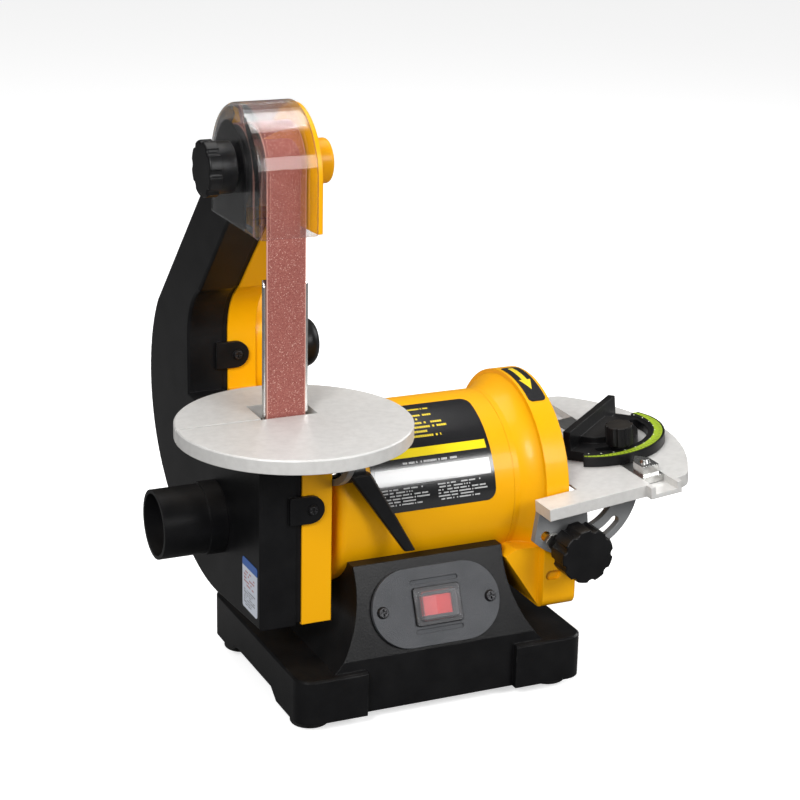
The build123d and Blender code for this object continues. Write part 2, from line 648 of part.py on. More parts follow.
with BuildPart() as table_trunnions:
    reach = (45 ** 2 - DT_T ** 2) ** 0.5
    for side in (-1, 1):
        with BuildSketch(Plane(origin=(PIVOT_X, side * TRUNNION_Y, PIVOT_Z), x_dir=TABLE_DIR,
                               z_dir=(0, -1, 0))):
            with BuildLine():
                ThreePointArc((-35, -28.3), (0, -45), (reach, -DT_T))
                Polyline((reach, -DT_T), (-30, -DT_T), (-35, -28.3))
            make_face()
            with BuildLine():
                Line((5, -14), (5, -27))
                ThreePointArc((5, -27), (18, -21), (24, -14))
                Line((24, -14), (5, -14))
            make_face(mode=Mode.SUBTRACT)
            add(arc_slot(ARC_R, 6.8, -136, 88), mode=Mode.SUBTRACT)
        extrude(amount=-side * TRUNNION_T)
        with BuildSketch(DISC_TABLE.offset(-DT_T - 4)):
            with Locations((6, side * (TRUNNION_Y + TRUNNION_T / 2 + 3))):
                Rectangle(60, TRUNNION_T + 6)
            with Locations((-16, side * 77.2), (28, side * 77.2)):
                Circle(1.5, mode=Mode.SUBTRACT)
        extrude(amount=4)
save(table_trunnions, "table_trunnions")

with BuildPart() as table_screws:
    for side in (-1, 1):
        with BuildSketch(DISC_TABLE.offset(-DT_T - 6)):
            with Locations((-16, side * 77.2), (28, side * 77.2)):
                Circle(2.8)
        extrude(amount=2)
        with BuildSketch(DISC_TABLE.offset(-DT_T - 5)):
            with Locations((-16, side * 77.2), (28, side * 77.2)):
                Circle(1.5)
        extrude(amount=10)
save(table_screws, "table_screws")

with BuildPart() as tilt_knob:
    with BuildSketch(Plane.XZ.offset(TRUNNION_Y + TRUNNION_T + GAP)):
        with Locations(PINS[0]):
            Circle(7)
    extrude(amount=8)
    with BuildSketch(Plane.XZ.offset(TRUNNION_Y + TRUNNION_T + 7)):
        with Locations(PINS[0]):
            fluted(18.5, 9, 1.6)
    extrude(amount=17)
    fillet(faces().sort_by(Axis.Y)[0].edges(), 1.2)
    with BuildSketch(Plane.XZ.offset(TRUNNION_Y + TRUNNION_T)):
        with Locations(PINS[0]):
            Circle(3 + RUN)
    extrude(amount=12, mode=Mode.SUBTRACT)
save(tilt_knob, "tilt_knob")

# ----------------------------------------------------------------- miter gauge
with BuildPart() as miter_bar:
    with BuildSketch(DISC_TABLE.offset(-DT_SLOT_D + 0.4)):
        with Locations((DT_SLOT_X, -17)):
            Rectangle(DT_SLOT_W - 0.7, 126)
    extrude(amount=DT_SLOT_D - 0.2)
    with BuildSketch(DISC_TABLE):
        with Locations((DT_SLOT_X, HEAD_Y)):
            Circle(4)
    extrude(amount=6.5)
    with BuildSketch(DISC_TABLE.offset(-DT_SLOT_D)):
        with Locations((DT_SLOT_X, HEAD_Y - CLAMP_R)):
            Circle(3 + RUN)
    extrude(amount=DT_SLOT_D + 1, mode=Mode.SUBTRACT)
save(miter_bar, "miter_bar")

with BuildPart() as miter_pointer:
    with BuildSketch(DISC_TABLE.offset(0.2)):
        with BuildLine():
            x, y = DT_SLOT_X, HEAD_Y - HEAD_R - 4.5
            Polyline((x, y), (x + 6, y - 8), (x + 6, y - 21), (x - 6, y - 21), (x - 6, y - 8), close=True)
        make_face()
    extrude(amount=6.5)
    with BuildSketch(DISC_TABLE.offset(6.7)):
        with Locations((DT_SLOT_X, HEAD_Y - HEAD_R - 18)):
            Circle(3.6)
    extrude(amount=2.4, taper=20)
save(miter_pointer, "miter_pointer")

with BuildPart() as miter_head:
    with BuildSketch(HEAD.offset(GAP)):
        with BuildLine():
            CenterArc((0, 0), HEAD_R, 180, 180)
            Line((HEAD_R, 0), (-HEAD_R, 0))
        make_face()
        with BuildLine():
            Polyline((-FENCE_L / 2, 0), (-FENCE_L / 2, 8), (FENCE_L / 2, 8), (FENCE_L / 2, 0), close=True)
        make_face()
        with Locations((FENCE_L / 2 + 6, -4)):
            Rectangle(12, 12, mode=Mode.SUBTRACT)
        with Locations((-FENCE_L / 2 - 6, -4)):
            Rectangle(12, 12, mode=Mode.SUBTRACT)
        add(arc_slot(CLAMP_R, 6.8, -152, 124), mode=Mode.SUBTRACT)
    extrude(amount=6.6)
    with BuildSketch(HEAD.offset(GAP)):
        with Locations((0, 8 - FENCE_T / 2)):
            Rectangle(FENCE_L, FENCE_T)
    extrude(amount=FENCE_H)
    # raised web behind the fence
    with BuildSketch(HEAD.offset(GAP)):
        with BuildLine():
            CenterArc((0, 0), 20.5, 180, 180)
            Polyline((20.5, 0), (20.5, 4), (-20.5, 4), (-20.5, 0))
        make_face()
    extrude(amount=11)
    with BuildSketch(HEAD):
        Circle(4 + RUN)
    extrude(amount=7, mode=Mode.SUBTRACT)
save(miter_head, "miter_head")

with BuildPart() as miter_scale:
    with BuildSketch(HEAD.offset(GAP + 6.6)):
        add(arc_slot(HEAD_R - 5, 7, -164, 148))
    extrude(amount=0.3)
save(miter_scale, "miter_scale")

CLAMP = Plane(origin=DISC_TABLE.origin + TABLE_DIR * DT_SLOT_X + Vector(0, HEAD_Y - CLAMP_R, 0),
              x_dir=TABLE_DIR, z_dir=TABLE_UP)
with BuildPart() as miter_knob:
    with BuildSketch(CLAMP.offset(-DT_SLOT_D + 0.6)):
        Circle(3)
    extrude(amount=16)
    with BuildSketch(CLAMP.offset(7.4)):
        Circle(6.5)
    extrude(amount=2.6)
    with BuildSketch(CLAMP.offset(10)):
        fluted(9.5, 8, 0.9)
    extrude(amount=13)
    fillet(faces().filter_by(lambda f: f.normal_at().dot(TABLE_UP) > 0.99).sort_by(Axis.Z)[-1].edges(), 0.8)
save(miter_knob, "miter_knob")

# --------------------------------------------------------------- belt and arm
with BuildPart() as sanding_belt:
    with BuildSketch(Plane.YZ.offset(BELT_X - BELT_W / 2)):
        for extra, mode in ((BELT_PLAY + BELT_T, Mode.ADD), (BELT_PLAY, Mode.SUBTRACT)):
            with BuildLine():
                for start, middle, end, following in belt_path(extra):
                    ThreePointArc(start, middle, end)
                    Line(end, following)
            make_face(mode=mode)
    extrude(amount=BELT_W)
save(sanding_belt, "sanding_belt")

with BuildPart() as drive_wheel:
    with BuildSketch(Plane.YZ.offset(BELT_X - WHEEL_W / 2)):
        with Locations((0, AXIS_Z)):
            Circle(DRIVE_R)
            Circle(SHAFT_R, mode=Mode.SUBTRACT)
    extrude(amount=WHEEL_W)
    for x, depth in ((BELT_X - WHEEL_W / 2, 10), (BELT_X + WHEEL_W / 2 - 10, 10)):
        with BuildSketch(Plane.YZ.offset(x)):
            with Locations((0, AXIS_Z)):
                Circle(DRIVE_R - 5)
                Circle(14, mode=Mode.SUBTRACT)
                with PolarLocations(26, 5):
                    Rectangle(30, 4, mode=Mode.SUBTRACT)
        extrude(amount=depth, mode=Mode.SUBTRACT)
save(drive_wheel, "drive_wheel")

with BuildPart() as drive_nut:
    with BuildSketch(Plane.YZ.offset(BELT_X - WHEEL_W / 2 - 3)):
        with Locations((0, AXIS_Z)):
            RegularPolygon(10.5, 6)
            Circle(SHAFT_R, mode=Mode.SUBTRACT)
    extrude(amount=3)
save(drive_nut, "drive_nut")

for name, y, z in (("top_wheel", TOP_Y, TOP_Z), ("rear_wheel", IDLE_Y, IDLE_Z)):
    with BuildPart() as wheel:
        with BuildSketch(Plane.YZ.offset(BELT_X - WHEEL_W / 2)):
            with Locations((y, z)):
                Circle(IDLER_R)
                Circle(5 + RUN, mode=Mode.SUBTRACT)
        extrude(amount=WHEEL_W)
        for x in (BELT_X - WHEEL_W / 2, BELT_X + WHEEL_W / 2 - 6):
            with BuildSketch(Plane.YZ.offset(x)):
                with Locations((y, z)):
                    Circle(IDLER_R - 4)
                    Circle(11, mode=Mode.SUBTRACT)
            extrude(amount=6, mode=Mode.SUBTRACT)
    save(wheel, name)

with BuildPart() as top_axle:
    with BuildSketch(Plane.YZ.offset(COVER_X + SHELL)):
        with Locations((TOP_Y, TOP_Z)):
            Circle(5)
    extrude(amount=HEAD_X - COVER_X - SHELL + 1)
    with BuildSketch(Plane.YZ.offset(COVER_X + SHELL)):
        with Locations((TOP_Y, TOP_Z)):
            Circle(3 + RUN)
    extrude(amount=10, mode=Mode.SUBTRACT)
    for x, width in ((COVER_X + SHELL, 5.4), (BELT_X + WHEEL_W / 2 + 0.5, 0.5)):
        with BuildSketch(Plane.YZ.offset(x)):
            with Locations((TOP_Y, TOP_Z)):
                Circle(9)
                Circle(5, mode=Mode.SUBTRACT)
        extrude(amount=width)
save(top_axle, "top_axle")

ARM_X0, ARM_X1 = -81.5, -77.5
ARM_TURN = degrees(atan2(IDLE_Z - ARM_Z, IDLE_Y - ARM_Y))
with BuildPart() as tension_arm:
    with BuildSketch(Plane.YZ.offset(ARM_X0)):
        with BuildLine() as spine:
            Polyline((ARM_Y, ARM_Z), (IDLE_Y, IDLE_Z), (TRACK_Y, TRACK_Z))
        trace(spine.edges(), 15)
        with Locations((ARM_Y, ARM_Z), (IDLE_Y, IDLE_Z), (TRACK_Y, TRACK_Z)):
            Circle(9)
        with Locations((ARM_Y, ARM_Z)):
            Circle(4 + RUN, mode=Mode.SUBTRACT)
    extrude(amount=ARM_X1 - ARM_X0)
save(tension_arm, "tension_arm")

with BuildPart() as rear_axle:
    with BuildSketch(Plane.YZ.offset(BELT_X - WHEEL_W / 2 - 2.6)):
        with Locations((IDLE_Y, IDLE_Z)):
            Circle(5)
    extrude(amount=ARM_X0 - (BELT_X - WHEEL_W / 2 - 2.6))
    with BuildSketch(Plane.YZ.offset(BELT_X - WHEEL_W / 2 - 2.6)):
        with Locations((IDLE_Y, IDLE_Z)):
            Circle(8)
    extrude(amount=2.2)
save(rear_axle, "rear_axle")

with BuildPart() as arm_pin:
    with BuildSketch(Plane.YZ.offset(FRAME_X - WALL)):
        with Locations((ARM_Y, ARM_Z)):
            Circle(4)
    extrude(amount=-12)
    with BuildSketch(Plane.YZ.offset(ARM_X0 - GAP)):
        with Locations((ARM_Y, ARM_Z)):
            Circle(6.5)
    extrude(amount=-2.5)
save(arm_pin, "arm_pin")

with BuildPart() as tension_spring:
    with BuildLine() as coil:
        Helix(pitch=2.4, height=21, radius=2.9, direction=(0, 1, 0),
              center=((ARM_X0 + ARM_X1) / 2 + 0.4, TRACK_Y + 10.2, TRACK_Z - 2))
    with BuildSketch(Plane(origin=coil.line @ 0, z_dir=coil.line % 0)):
        Circle(0.5)
    sweep()
save(tension_spring, "tension_spring")

# ------------------------------------------------------------- frame and cover
with BuildPart() as belt_frame:
    with BuildSketch(Plane.YZ.offset(RIM_X)):
        add(FRAME_OUTLINE)
    extrude(amount=FRAME_X - RIM_X)
    with BuildSketch(Plane.YZ.offset(RIM_X)):
        add(FRAME_OUTLINE)
        offset(amount=-SHELL, kind=Kind.INTERSECTION, mode=Mode.REPLACE)
    extrude(amount=FRAME_X - RIM_X - WALL, mode=Mode.SUBTRACT)
    # head: a slim plate beside the top wheel, joined to the arm by a shoulder
    with BuildSketch(Plane.YZ.offset(HEAD_X - HEAD_WALL)):
        add(FRAME_OUTLINE)
        with Locations((-20, 157)):
            Rectangle(400, 314, mode=Mode.SUBTRACT)
        with Locations((104, 350)):
            Rectangle(156, 100, mode=Mode.SUBTRACT)
    extrude(amount=FRAME_X - WALL - HEAD_X + HEAD_WALL)
    with Locations((HEAD_X + 10, -24, 358)):
        Box(20, 92, 80, mode=Mode.SUBTRACT)
    with Locations((HEAD_X - HEAD_WALL - 10, -31, 360)):
        Box(20, 82, 84, mode=Mode.SUBTRACT)
    with Locations((HEAD_X - HEAD_WALL - 10, 12, 375)):
        Box(20, 26, 50, mode=Mode.SUBTRACT)
    # opening in the ledge for belt and platen
    with Locations((RIM_X, -45, LEDGE_Z - 4)):
        Box(20, 16, 20, mode=Mode.SUBTRACT)
    # bosses inside: clamp stud, platen foot, spring stop
    with BuildSketch(Plane.YZ.offset(FRAME_X - WALL)):
        with Locations((STUD_Y, STUD_Z)):
            Circle(4.6)
    extrude(amount=-6)
    with Locations((FRAME_X - WALL - 3, -38.4, 165)):
        Box(8, 6.8, 22)
    with Locations((FRAME_X - WALL - 3.5, TRACK_Y + 34.5, TRACK_Z - 2)):
        Box(9, 5, 16)
    # holes: shaft, neck bolts, axles and studs
    with BuildSketch(Plane.YZ.offset(FRAME_X - 20)):
        with Locations((0, AXIS_Z)):
            Circle(SHAFT_R + 2)
            with PolarLocations(22, 4, 45):
                Circle(2.5)
        with Locations((TOP_Y, TOP_Z)):
            Circle(5)
        with Locations((TRACK_Y, TRACK_Z)):
            Circle(3 + RUN)
        with Locations((ARM_Y, ARM_Z)):
            Circle(4)
        with Locations((STUD_Y, STUD_Z)):
            Circle(2.5)
    extrude(amount=30, mode=Mode.SUBTRACT)
save(belt_frame, "belt_frame")

with BuildPart() as neck_bolts:
    with BuildSketch(Plane.YZ.offset(FRAME_X - WALL - 3.5)):
        with Locations((0, AXIS_Z)):
            with PolarLocations(22, 4, 45):
                RegularPolygon(4.6, 6)
    extrude(amount=3.5)
    with BuildSketch(Plane.YZ.offset(FRAME_X - WALL)):
        with Locations((0, AXIS_Z)):
            with PolarLocations(22, 4, 45):
                Circle(2.5)
    extrude(amount=14)
save(neck_bolts, "neck_bolts")

with BuildPart() as belt_cover:
    with BuildSketch(Plane.YZ.offset(COVER_X)):
        add(COVER_OUTLINE)
    extrude(amount=SEAM_X - COVER_X)
    fillet(faces().sort_by(Axis.X)[0].edges(), 2)
    with BuildSketch(Plane.YZ.offset(COVER_X + SHELL)):
        add(COVER_OUTLINE)
        offset(amount=-SHELL, kind=Kind.INTERSECTION, mode=Mode.REPLACE)
    extrude(amount=SEAM_X - COVER_X, mode=Mode.SUBTRACT)
    # lip that fills the seam
    with BuildSketch(Plane.YZ.offset(SEAM_X - 1)):
        add(COVER_OUTLINE)
        offset(amount=-1.4, kind=Kind.INTERSECTION, mode=Mode.REPLACE)
    extrude(amount=RIM_X - SEAM_X + 1)
    with BuildSketch(Plane.YZ.offset(SEAM_X - 1)):
        add(COVER_OUTLINE)
        offset(amount=-SHELL, kind=Kind.INTERSECTION, mode=Mode.REPLACE)
    extrude(amount=RIM_X - SEAM_X + 1, mode=Mode.SUBTRACT)
    # open head and the opening in the ledge
    with Locations((COVER_X + SHELL + 15, -31, 360)):
        Box(30, 82, 84, mode=Mode.SUBTRACT)
    with Locations((-102, -45, LEDGE_Z - 4)):
        Box(22, 16, 20, mode=Mode.SUBTRACT)
    # hole behind the dust port
    with BuildSketch(Plane.YZ.offset(COVER_X)):
        with Locations((PORT_Y, PORT_Z)):
            Circle(PORT_R - 2.6)
    extrude(amount=SHELL, mode=Mode.SUBTRACT)
    # screw ears that lap over the frame, and the hole for the guard knob
    for y, z in ((FRONT_Y, 145), (75, 208)):
        with BuildSketch(Plane.XZ.offset(-y)):
            with Locations((SEAM_X + 2, z)):
                Rectangle(14, 18)
            with Locations((SEAM_X + 9, z)):
                Circle(9)
        extrude(amount=3)
        with BuildSketch(Plane.XZ.offset(-y)):
            with Locations((SEAM_X + 10, z)):
                Circle(2)
        extrude(amount=3, mode=Mode.SUBTRACT)
    with BuildSketch(Plane.YZ.offset(COVER_X)):
        with Locations((TOP_Y, TOP_Z)):
            Circle(3 + RUN)
    extrude(amount=SHELL, mode=Mode.SUBTRACT)
save(belt_cover, "belt_cover")

with BuildPart() as dust_port:
    with BuildSketch(Plane.YZ.offset(PORT_X)):
        with Locations((PORT_Y, PORT_Z)):
            Circle(PORT_R)
    extrude(amount=COVER_X - PORT_X)
    with BuildSketch(Plane.YZ.offset(COVER_X - 12)):
        with Locations((PORT_Y, PORT_Z)):
            Circle(PORT_R + 1.2)
    extrude(amount=12)
    with BuildSketch(Plane.YZ.offset(PORT_X)):
        with Locations((PORT_Y, PORT_Z)):
            Circle(PORT_R - 2.6)
    extrude(amount=COVER_X - PORT_X, mode=Mode.SUBTRACT)
save(dust_port, "dust_port")

with BuildPart() as cover_screws:
    for y, z in ((FRONT_Y, 145), (75, 208)):
        with BuildSketch(Plane.XZ.offset(SHELL - y)):
            with Locations((SEAM_X + 10, z)):
                Circle(3.6)
        extrude(amount=2, taper=25)
        with BuildSketch(Plane.XZ.offset(SHELL - y)):
            with Locations((SEAM_X + 10, z)):
                Circle(2)
        extrude(amount=-SHELL)
        with BuildSketch(Plane.XZ.offset(SHELL - y + 1)):
            with Locations((SEAM_X + 10, z)):
                Rectangle(4, 0.8)
                Rectangle(0.8, 4)
        extrude(amount=2, mode=Mode.SUBTRACT)
save(cover_screws, "cover_screws")

with BuildPart() as cover_label:
    with BuildSketch(Plane.YZ.offset(COVER_X)):
        with Locations((-42, 90)):
            RectangleRounded(26, 34, 2)
    extrude(amount=-0.3)
save(cover_label, "cover_label")

with BuildPart() as platen:
    face_y = TOP_Y - IDLER_R - BELT_PLAY + 0.5
    with BuildSketch(Plane.YZ.offset(BELT_X - 14.2)):
        with BuildLine():
            Polyline((face_y, 152), (face_y, 286), (face_y + 2, 290), (face_y + 3, 290),
                     (face_y + 3, 152), close=True)
        make_face()
    extrude(amount=29)
    with BuildSketch(Plane.YZ.offset(BELT_X + 14.5)):
        with BuildLine():
            Polyline((face_y, 152), (face_y, 176), (face_y + 3, 176), (face_y + 3, 152), close=True)
        make_face()
    extrude(amount=FRAME_X - WALL - BELT_X - 14.5)
save(platen, "platen")

with BuildPart() as top_guard:
    with BuildSketch(Plane.YZ.offset(GUARD_X)):
        with BuildLine():
            Line((22.5, 352), (22.5, 318))
            Polyline((22.5, 318), (-62.5, 318), (-62.5, 352))
            ThreePointArc((-62.5, 352), (-20, 394.6), (22.5, 352))
        make_face()
        fillet(vertices().sort_by_distance((-62.5, 318))[0], 5)
    extrude(amount=HEAD_X - HEAD_WALL - GAP - GUARD_X)
    fillet(edges().filter_by(GeomType.CIRCLE).sort_by(SortBy.RADIUS)[-2:].sort_by(Axis.X)[0], 5)
    with BuildSketch(Plane.YZ.offset(GUARD_X + 2.2)):
        with BuildLine():
            Polyline((20.3, 352), (20.3, 310), (-60.3, 310), (-60.3, 352))
            ThreePointArc((-60.3, 352), (-20, 392.4), (20.3, 352))
        make_face()
    extrude(amount=42, mode=Mode.SUBTRACT)
    # open where the cover's arm leaves it, with a hole for its knob
    with BuildSketch(Plane.YZ.offset(GUARD_X + 2.2)):
        add(COVER_OUTLINE)
        offset(amount=0.5, kind=Kind.INTERSECTION, mode=Mode.REPLACE)
        with Locations((-46, 360)):
            Rectangle(120, 100, mode=Mode.SUBTRACT)
    extrude(amount=45, mode=Mode.SUBTRACT)
    with BuildSketch(Plane.YZ.offset(GUARD_X)):
        with Locations((TOP_Y, TOP_Z)):
            Circle(3 + RUN)
    extrude(amount=3, mode=Mode.SUBTRACT)
save(top_guard, "top_guard")

with BuildPart() as guard_knob:
    with BuildSketch(Plane.YZ.offset(GUARD_X - GAP)):
        with Locations((TOP_Y, TOP_Z)):
            Circle(11)
    extrude(amount=-3)
    with BuildSketch(Plane.YZ.offset(GUARD_X - 2)):
        with Locations((TOP_Y, TOP_Z)):
            Circle(16)
    extrude(amount=-12)
    with BuildSketch(Plane.YZ.offset(GUARD_X - 12)):
        with Locations((TOP_Y, TOP_Z)):
            fluted(17.5, 8, 1.6)
    extrude(amount=-8)
    fillet(faces().sort_by(Axis.X)[0].edges(), 1.5)
    with BuildSketch(Plane.YZ.offset(GUARD_X - 2)):
        with Locations((TOP_Y, TOP_Z)):
            Circle(3)
    extrude(amount=11)
save(guard_knob, "guard_knob")

with BuildPart() as axle_boss:
    with BuildSketch(Plane.YZ.offset(HEAD_X)):
        with Locations((TOP_Y, TOP_Z)):
            Circle(14)
    extrude(amount=19)
    fillet(edges().filter_by(GeomType.CIRCLE).sort_by(Axis.X)[-1], 2)
    with BuildSketch(Plane.YZ.offset(HEAD_X)):
        with Locations((TOP_Y, TOP_Z)):
            Circle(5)
    extrude(amount=2, mode=Mode.SUBTRACT)
save(axle_boss, "axle_boss")

with BuildPart() as tracking_housing:
    with BuildSketch(Plane.YZ.offset(FRAME_X)):
        with Locations((TRACK_Y, TRACK_Z)):
            SlotOverall(76, 54, rotation=90)
    extrude(amount=22)
    fillet(faces().sort_by(Axis.X)[-1].edges(), 4)
    with BuildSketch(Plane.YZ.offset(FRAME_X)):
        with Locations((TRACK_Y, TRACK_Z)):
            SlotOverall(70, 48, rotation=90)
    extrude(amount=18, mode=Mode.SUBTRACT)
    with BuildSketch(Plane.YZ.offset(FRAME_X)):
        with Locations((TRACK_Y, TRACK_Z)):
            Circle(3 + RUN)
    extrude(amount=30, mode=Mode.SUBTRACT)
save(tracking_housing, "tracking_housing")

with BuildPart() as tracking_knob:
    with BuildSketch(Plane.YZ.offset(ARM_X1 + GAP)):
        with Locations((TRACK_Y, TRACK_Z)):
            Circle(3)
    extrude(amount=FRAME_X + 30 - ARM_X1)
    with BuildSketch(Plane.YZ.offset(FRAME_X + 22 + GAP)):
        with Locations((TRACK_Y, TRACK_Z)):
            Circle(9)
    extrude(amount=14)
    with BuildSketch(Plane.YZ.offset(FRAME_X + 35)):
        with Locations((TRACK_Y, TRACK_Z)):
            Circle(17.5)
    extrude(amount=19)
    fillet(edges().filter_by(GeomType.CIRCLE).sort_by(Axis.X)[-1], 9)
save(tracking_knob, "tracking_knob")

# ------------------------------------------------------------------ belt table
with BuildPart() as belt_table:
    with BuildSketch(Plane.XY.offset(TABLE_Z - TABLE_T)):
        with Locations((TABLE_X, TABLE_Y)):
            Circle(TABLE_R)
    extrude(amount=TABLE_T)
    chamfer(edges().filter_by(GeomType.CIRCLE).sort_by(Axis.Z)[-1], 0.8)
    # thinner inside its rim, with a pad left for the trunnion
    with BuildSketch(Plane.XY.offset(TABLE_Z - TABLE_T)):
        with Locations((TABLE_X, TABLE_Y)):
            Circle(TABLE_R - 5)
        with Locations((-60, TABLE_Y - 2)):
            Rectangle(30, 72, mode=Mode.SUBTRACT)
        with Locations((BELT_X, TABLE_Y - 2)):
            Rectangle(56, 84, mode=Mode.SUBTRACT)
    extrude(amount=3.5, mode=Mode.SUBTRACT)
    # belt opening with a sloped front edge, and the slit for changing the belt
    with Locations((-94.5, (TILT_Y - 1.6 - 20) / 2, TABLE_Z)):
        Box(37, -20 - (TILT_Y - 1.6), 30, mode=Mode.SUBTRACT)
    with BuildSketch(Plane.YZ.offset(-113)):
        with BuildLine():
            Polyline((TILT_Y - 1.6, TABLE_Z - 0.4), (TILT_Y + 1, TABLE_Z - 0.4),
                     (TILT_Y + 1, TABLE_Z - TABLE_T - 0.1), (TILT_Y - 10.4, TABLE_Z - TABLE_T - 0.1),
                     close=True)
        make_face()
    extrude(amount=37, mode=Mode.SUBTRACT)
    with Locations((-150, TILT_Y - 0.6, TABLE_Z)):
        Box(80, 2, 30, mode=Mode.SUBTRACT)
    with BuildSketch(Plane.XY.offset(TABLE_Z - TABLE_T)):
        with Locations((-57, -72), (-57, -38)):
            Circle(2)
    extrude(amount=6, mode=Mode.SUBTRACT)
save(belt_table, "belt_table")

with BuildPart() as belt_trunnion:
    with BuildSketch(Plane(origin=(FRAME_X + 0.6, TILT_Y, TABLE_Z), x_dir=(0, 1, 0), z_dir=(1, 0, 0))):
        with BuildLine():
            rise = -TABLE_T
            left = -(47 ** 2 - rise ** 2) ** 0.5
            Line((left, rise), (-3, rise))
            Line((-3, rise), (-3, -46.9))
            ThreePointArc((-3, -46.9), (-33, -33.5), (left, rise))
        make_face()
        add(arc_slot(TILT_R, 5.6, -151, 51), mode=Mode.SUBTRACT)
    extrude(amount=4)
    with Locations(((FRAME_X + 0.6 - 50) / 2, -59, TABLE_Z - TABLE_T - 2)):
        Box(-50 - FRAME_X - 0.6, 58, 4)
    with BuildSketch(Plane.XY.offset(TABLE_Z - TABLE_T - 4)):
        with Locations((-57, -72), (-57, -38)):
            Circle(2)
    extrude(amount=4, mode=Mode.SUBTRACT)
save(belt_trunnion, "belt_trunnion")

with BuildPart() as belt_table_screws:
    for y in (-72, -38):
        with BuildSketch(Plane.XY.offset(TABLE_Z - TABLE_T - 6.2)):
            with Locations((-57, y)):
                Circle(3.4)
        extrude(amount=2.2)
        with BuildSketch(Plane.XY.offset(TABLE_Z - TABLE_T - 5)):
            with Locations((-57, y)):
                Circle(2)
        extrude(amount=11)
save(belt_table_screws, "belt_table_screws")

with BuildPart() as clamp_stud:
    with BuildSketch(Plane.YZ.offset(FRAME_X - 9)):
        with Locations((STUD_Y, STUD_Z)):
            Circle(2.5)
    extrude(amount=26)
save(clamp_stud, "clamp_stud")

with BuildPart() as clamp_lever:
    with BuildSketch(Plane.YZ.offset(FRAME_X + 5)):
        with Locations((STUD_Y, STUD_Z)):
            Circle(7)
    extrude(amount=17)
    with BuildSketch(Plane((-52.5, STUD_Y - 4, STUD_Z - 1))):
        Rectangle(15, 9)
        chamfer(vertices(), 1.6)
    with BuildSketch(Plane((-22, STUD_Y - 15, 112))):
        Rectangle(7.5, 5.5)
        chamfer(vertices(), 1)
    loft()
    with BuildSketch(Plane.YZ.offset(FRAME_X + 5)):
        with Locations((STUD_Y, STUD_Z)):
            Circle(2.5 + RUN)
    extrude(amount=14, mode=Mode.SUBTRACT)
save(clamp_lever, "clamp_lever")
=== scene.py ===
"""Looks of the belt disc sander: finishes, fine pieces, studio and camera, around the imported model.

Lengths are metres and angles are degrees unless a name says otherwise. The machine's frame is the
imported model's: +X along the motor axis towards the disc, -Y towards the operator, +Z up.
"""
import json
import logging
from collections.abc import Callable, Sequence
from dataclasses import dataclass, field
from enum import Enum
from math import asin, atan2, cos, hypot, pi, radians, sin

import bmesh
import bpy
from mathutils import Matrix, Vector


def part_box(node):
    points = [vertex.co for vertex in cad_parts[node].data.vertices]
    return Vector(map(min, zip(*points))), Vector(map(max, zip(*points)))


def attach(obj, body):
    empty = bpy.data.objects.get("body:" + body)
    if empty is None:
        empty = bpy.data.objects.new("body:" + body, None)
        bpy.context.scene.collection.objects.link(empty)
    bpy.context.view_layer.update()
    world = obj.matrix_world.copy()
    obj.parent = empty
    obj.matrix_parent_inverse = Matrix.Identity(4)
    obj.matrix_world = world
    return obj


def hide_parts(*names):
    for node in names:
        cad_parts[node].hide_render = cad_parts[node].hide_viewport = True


log = logging.getLogger("sander")
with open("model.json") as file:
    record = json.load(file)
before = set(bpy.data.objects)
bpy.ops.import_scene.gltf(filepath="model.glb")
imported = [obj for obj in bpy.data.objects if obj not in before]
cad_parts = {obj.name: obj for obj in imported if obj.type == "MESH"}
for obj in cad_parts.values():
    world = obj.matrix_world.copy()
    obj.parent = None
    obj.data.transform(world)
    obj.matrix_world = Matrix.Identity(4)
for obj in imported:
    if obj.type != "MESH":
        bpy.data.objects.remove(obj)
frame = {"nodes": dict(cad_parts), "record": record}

Colour = tuple[float, float, float]
Point = tuple[float, float, float]
Value = float | int | bool | str | tuple | Vector | bpy.types.NodeSocket | bpy.types.Material

MOTOR_AXIS_Z = 0.130
DUST_COLOUR = (0.42, 0.34, 0.25)
BODY_OF: dict[str, str] = {
    node: body for body, nodes in frame["record"]["behaviour"]["bodies"].items() for node in nodes
}


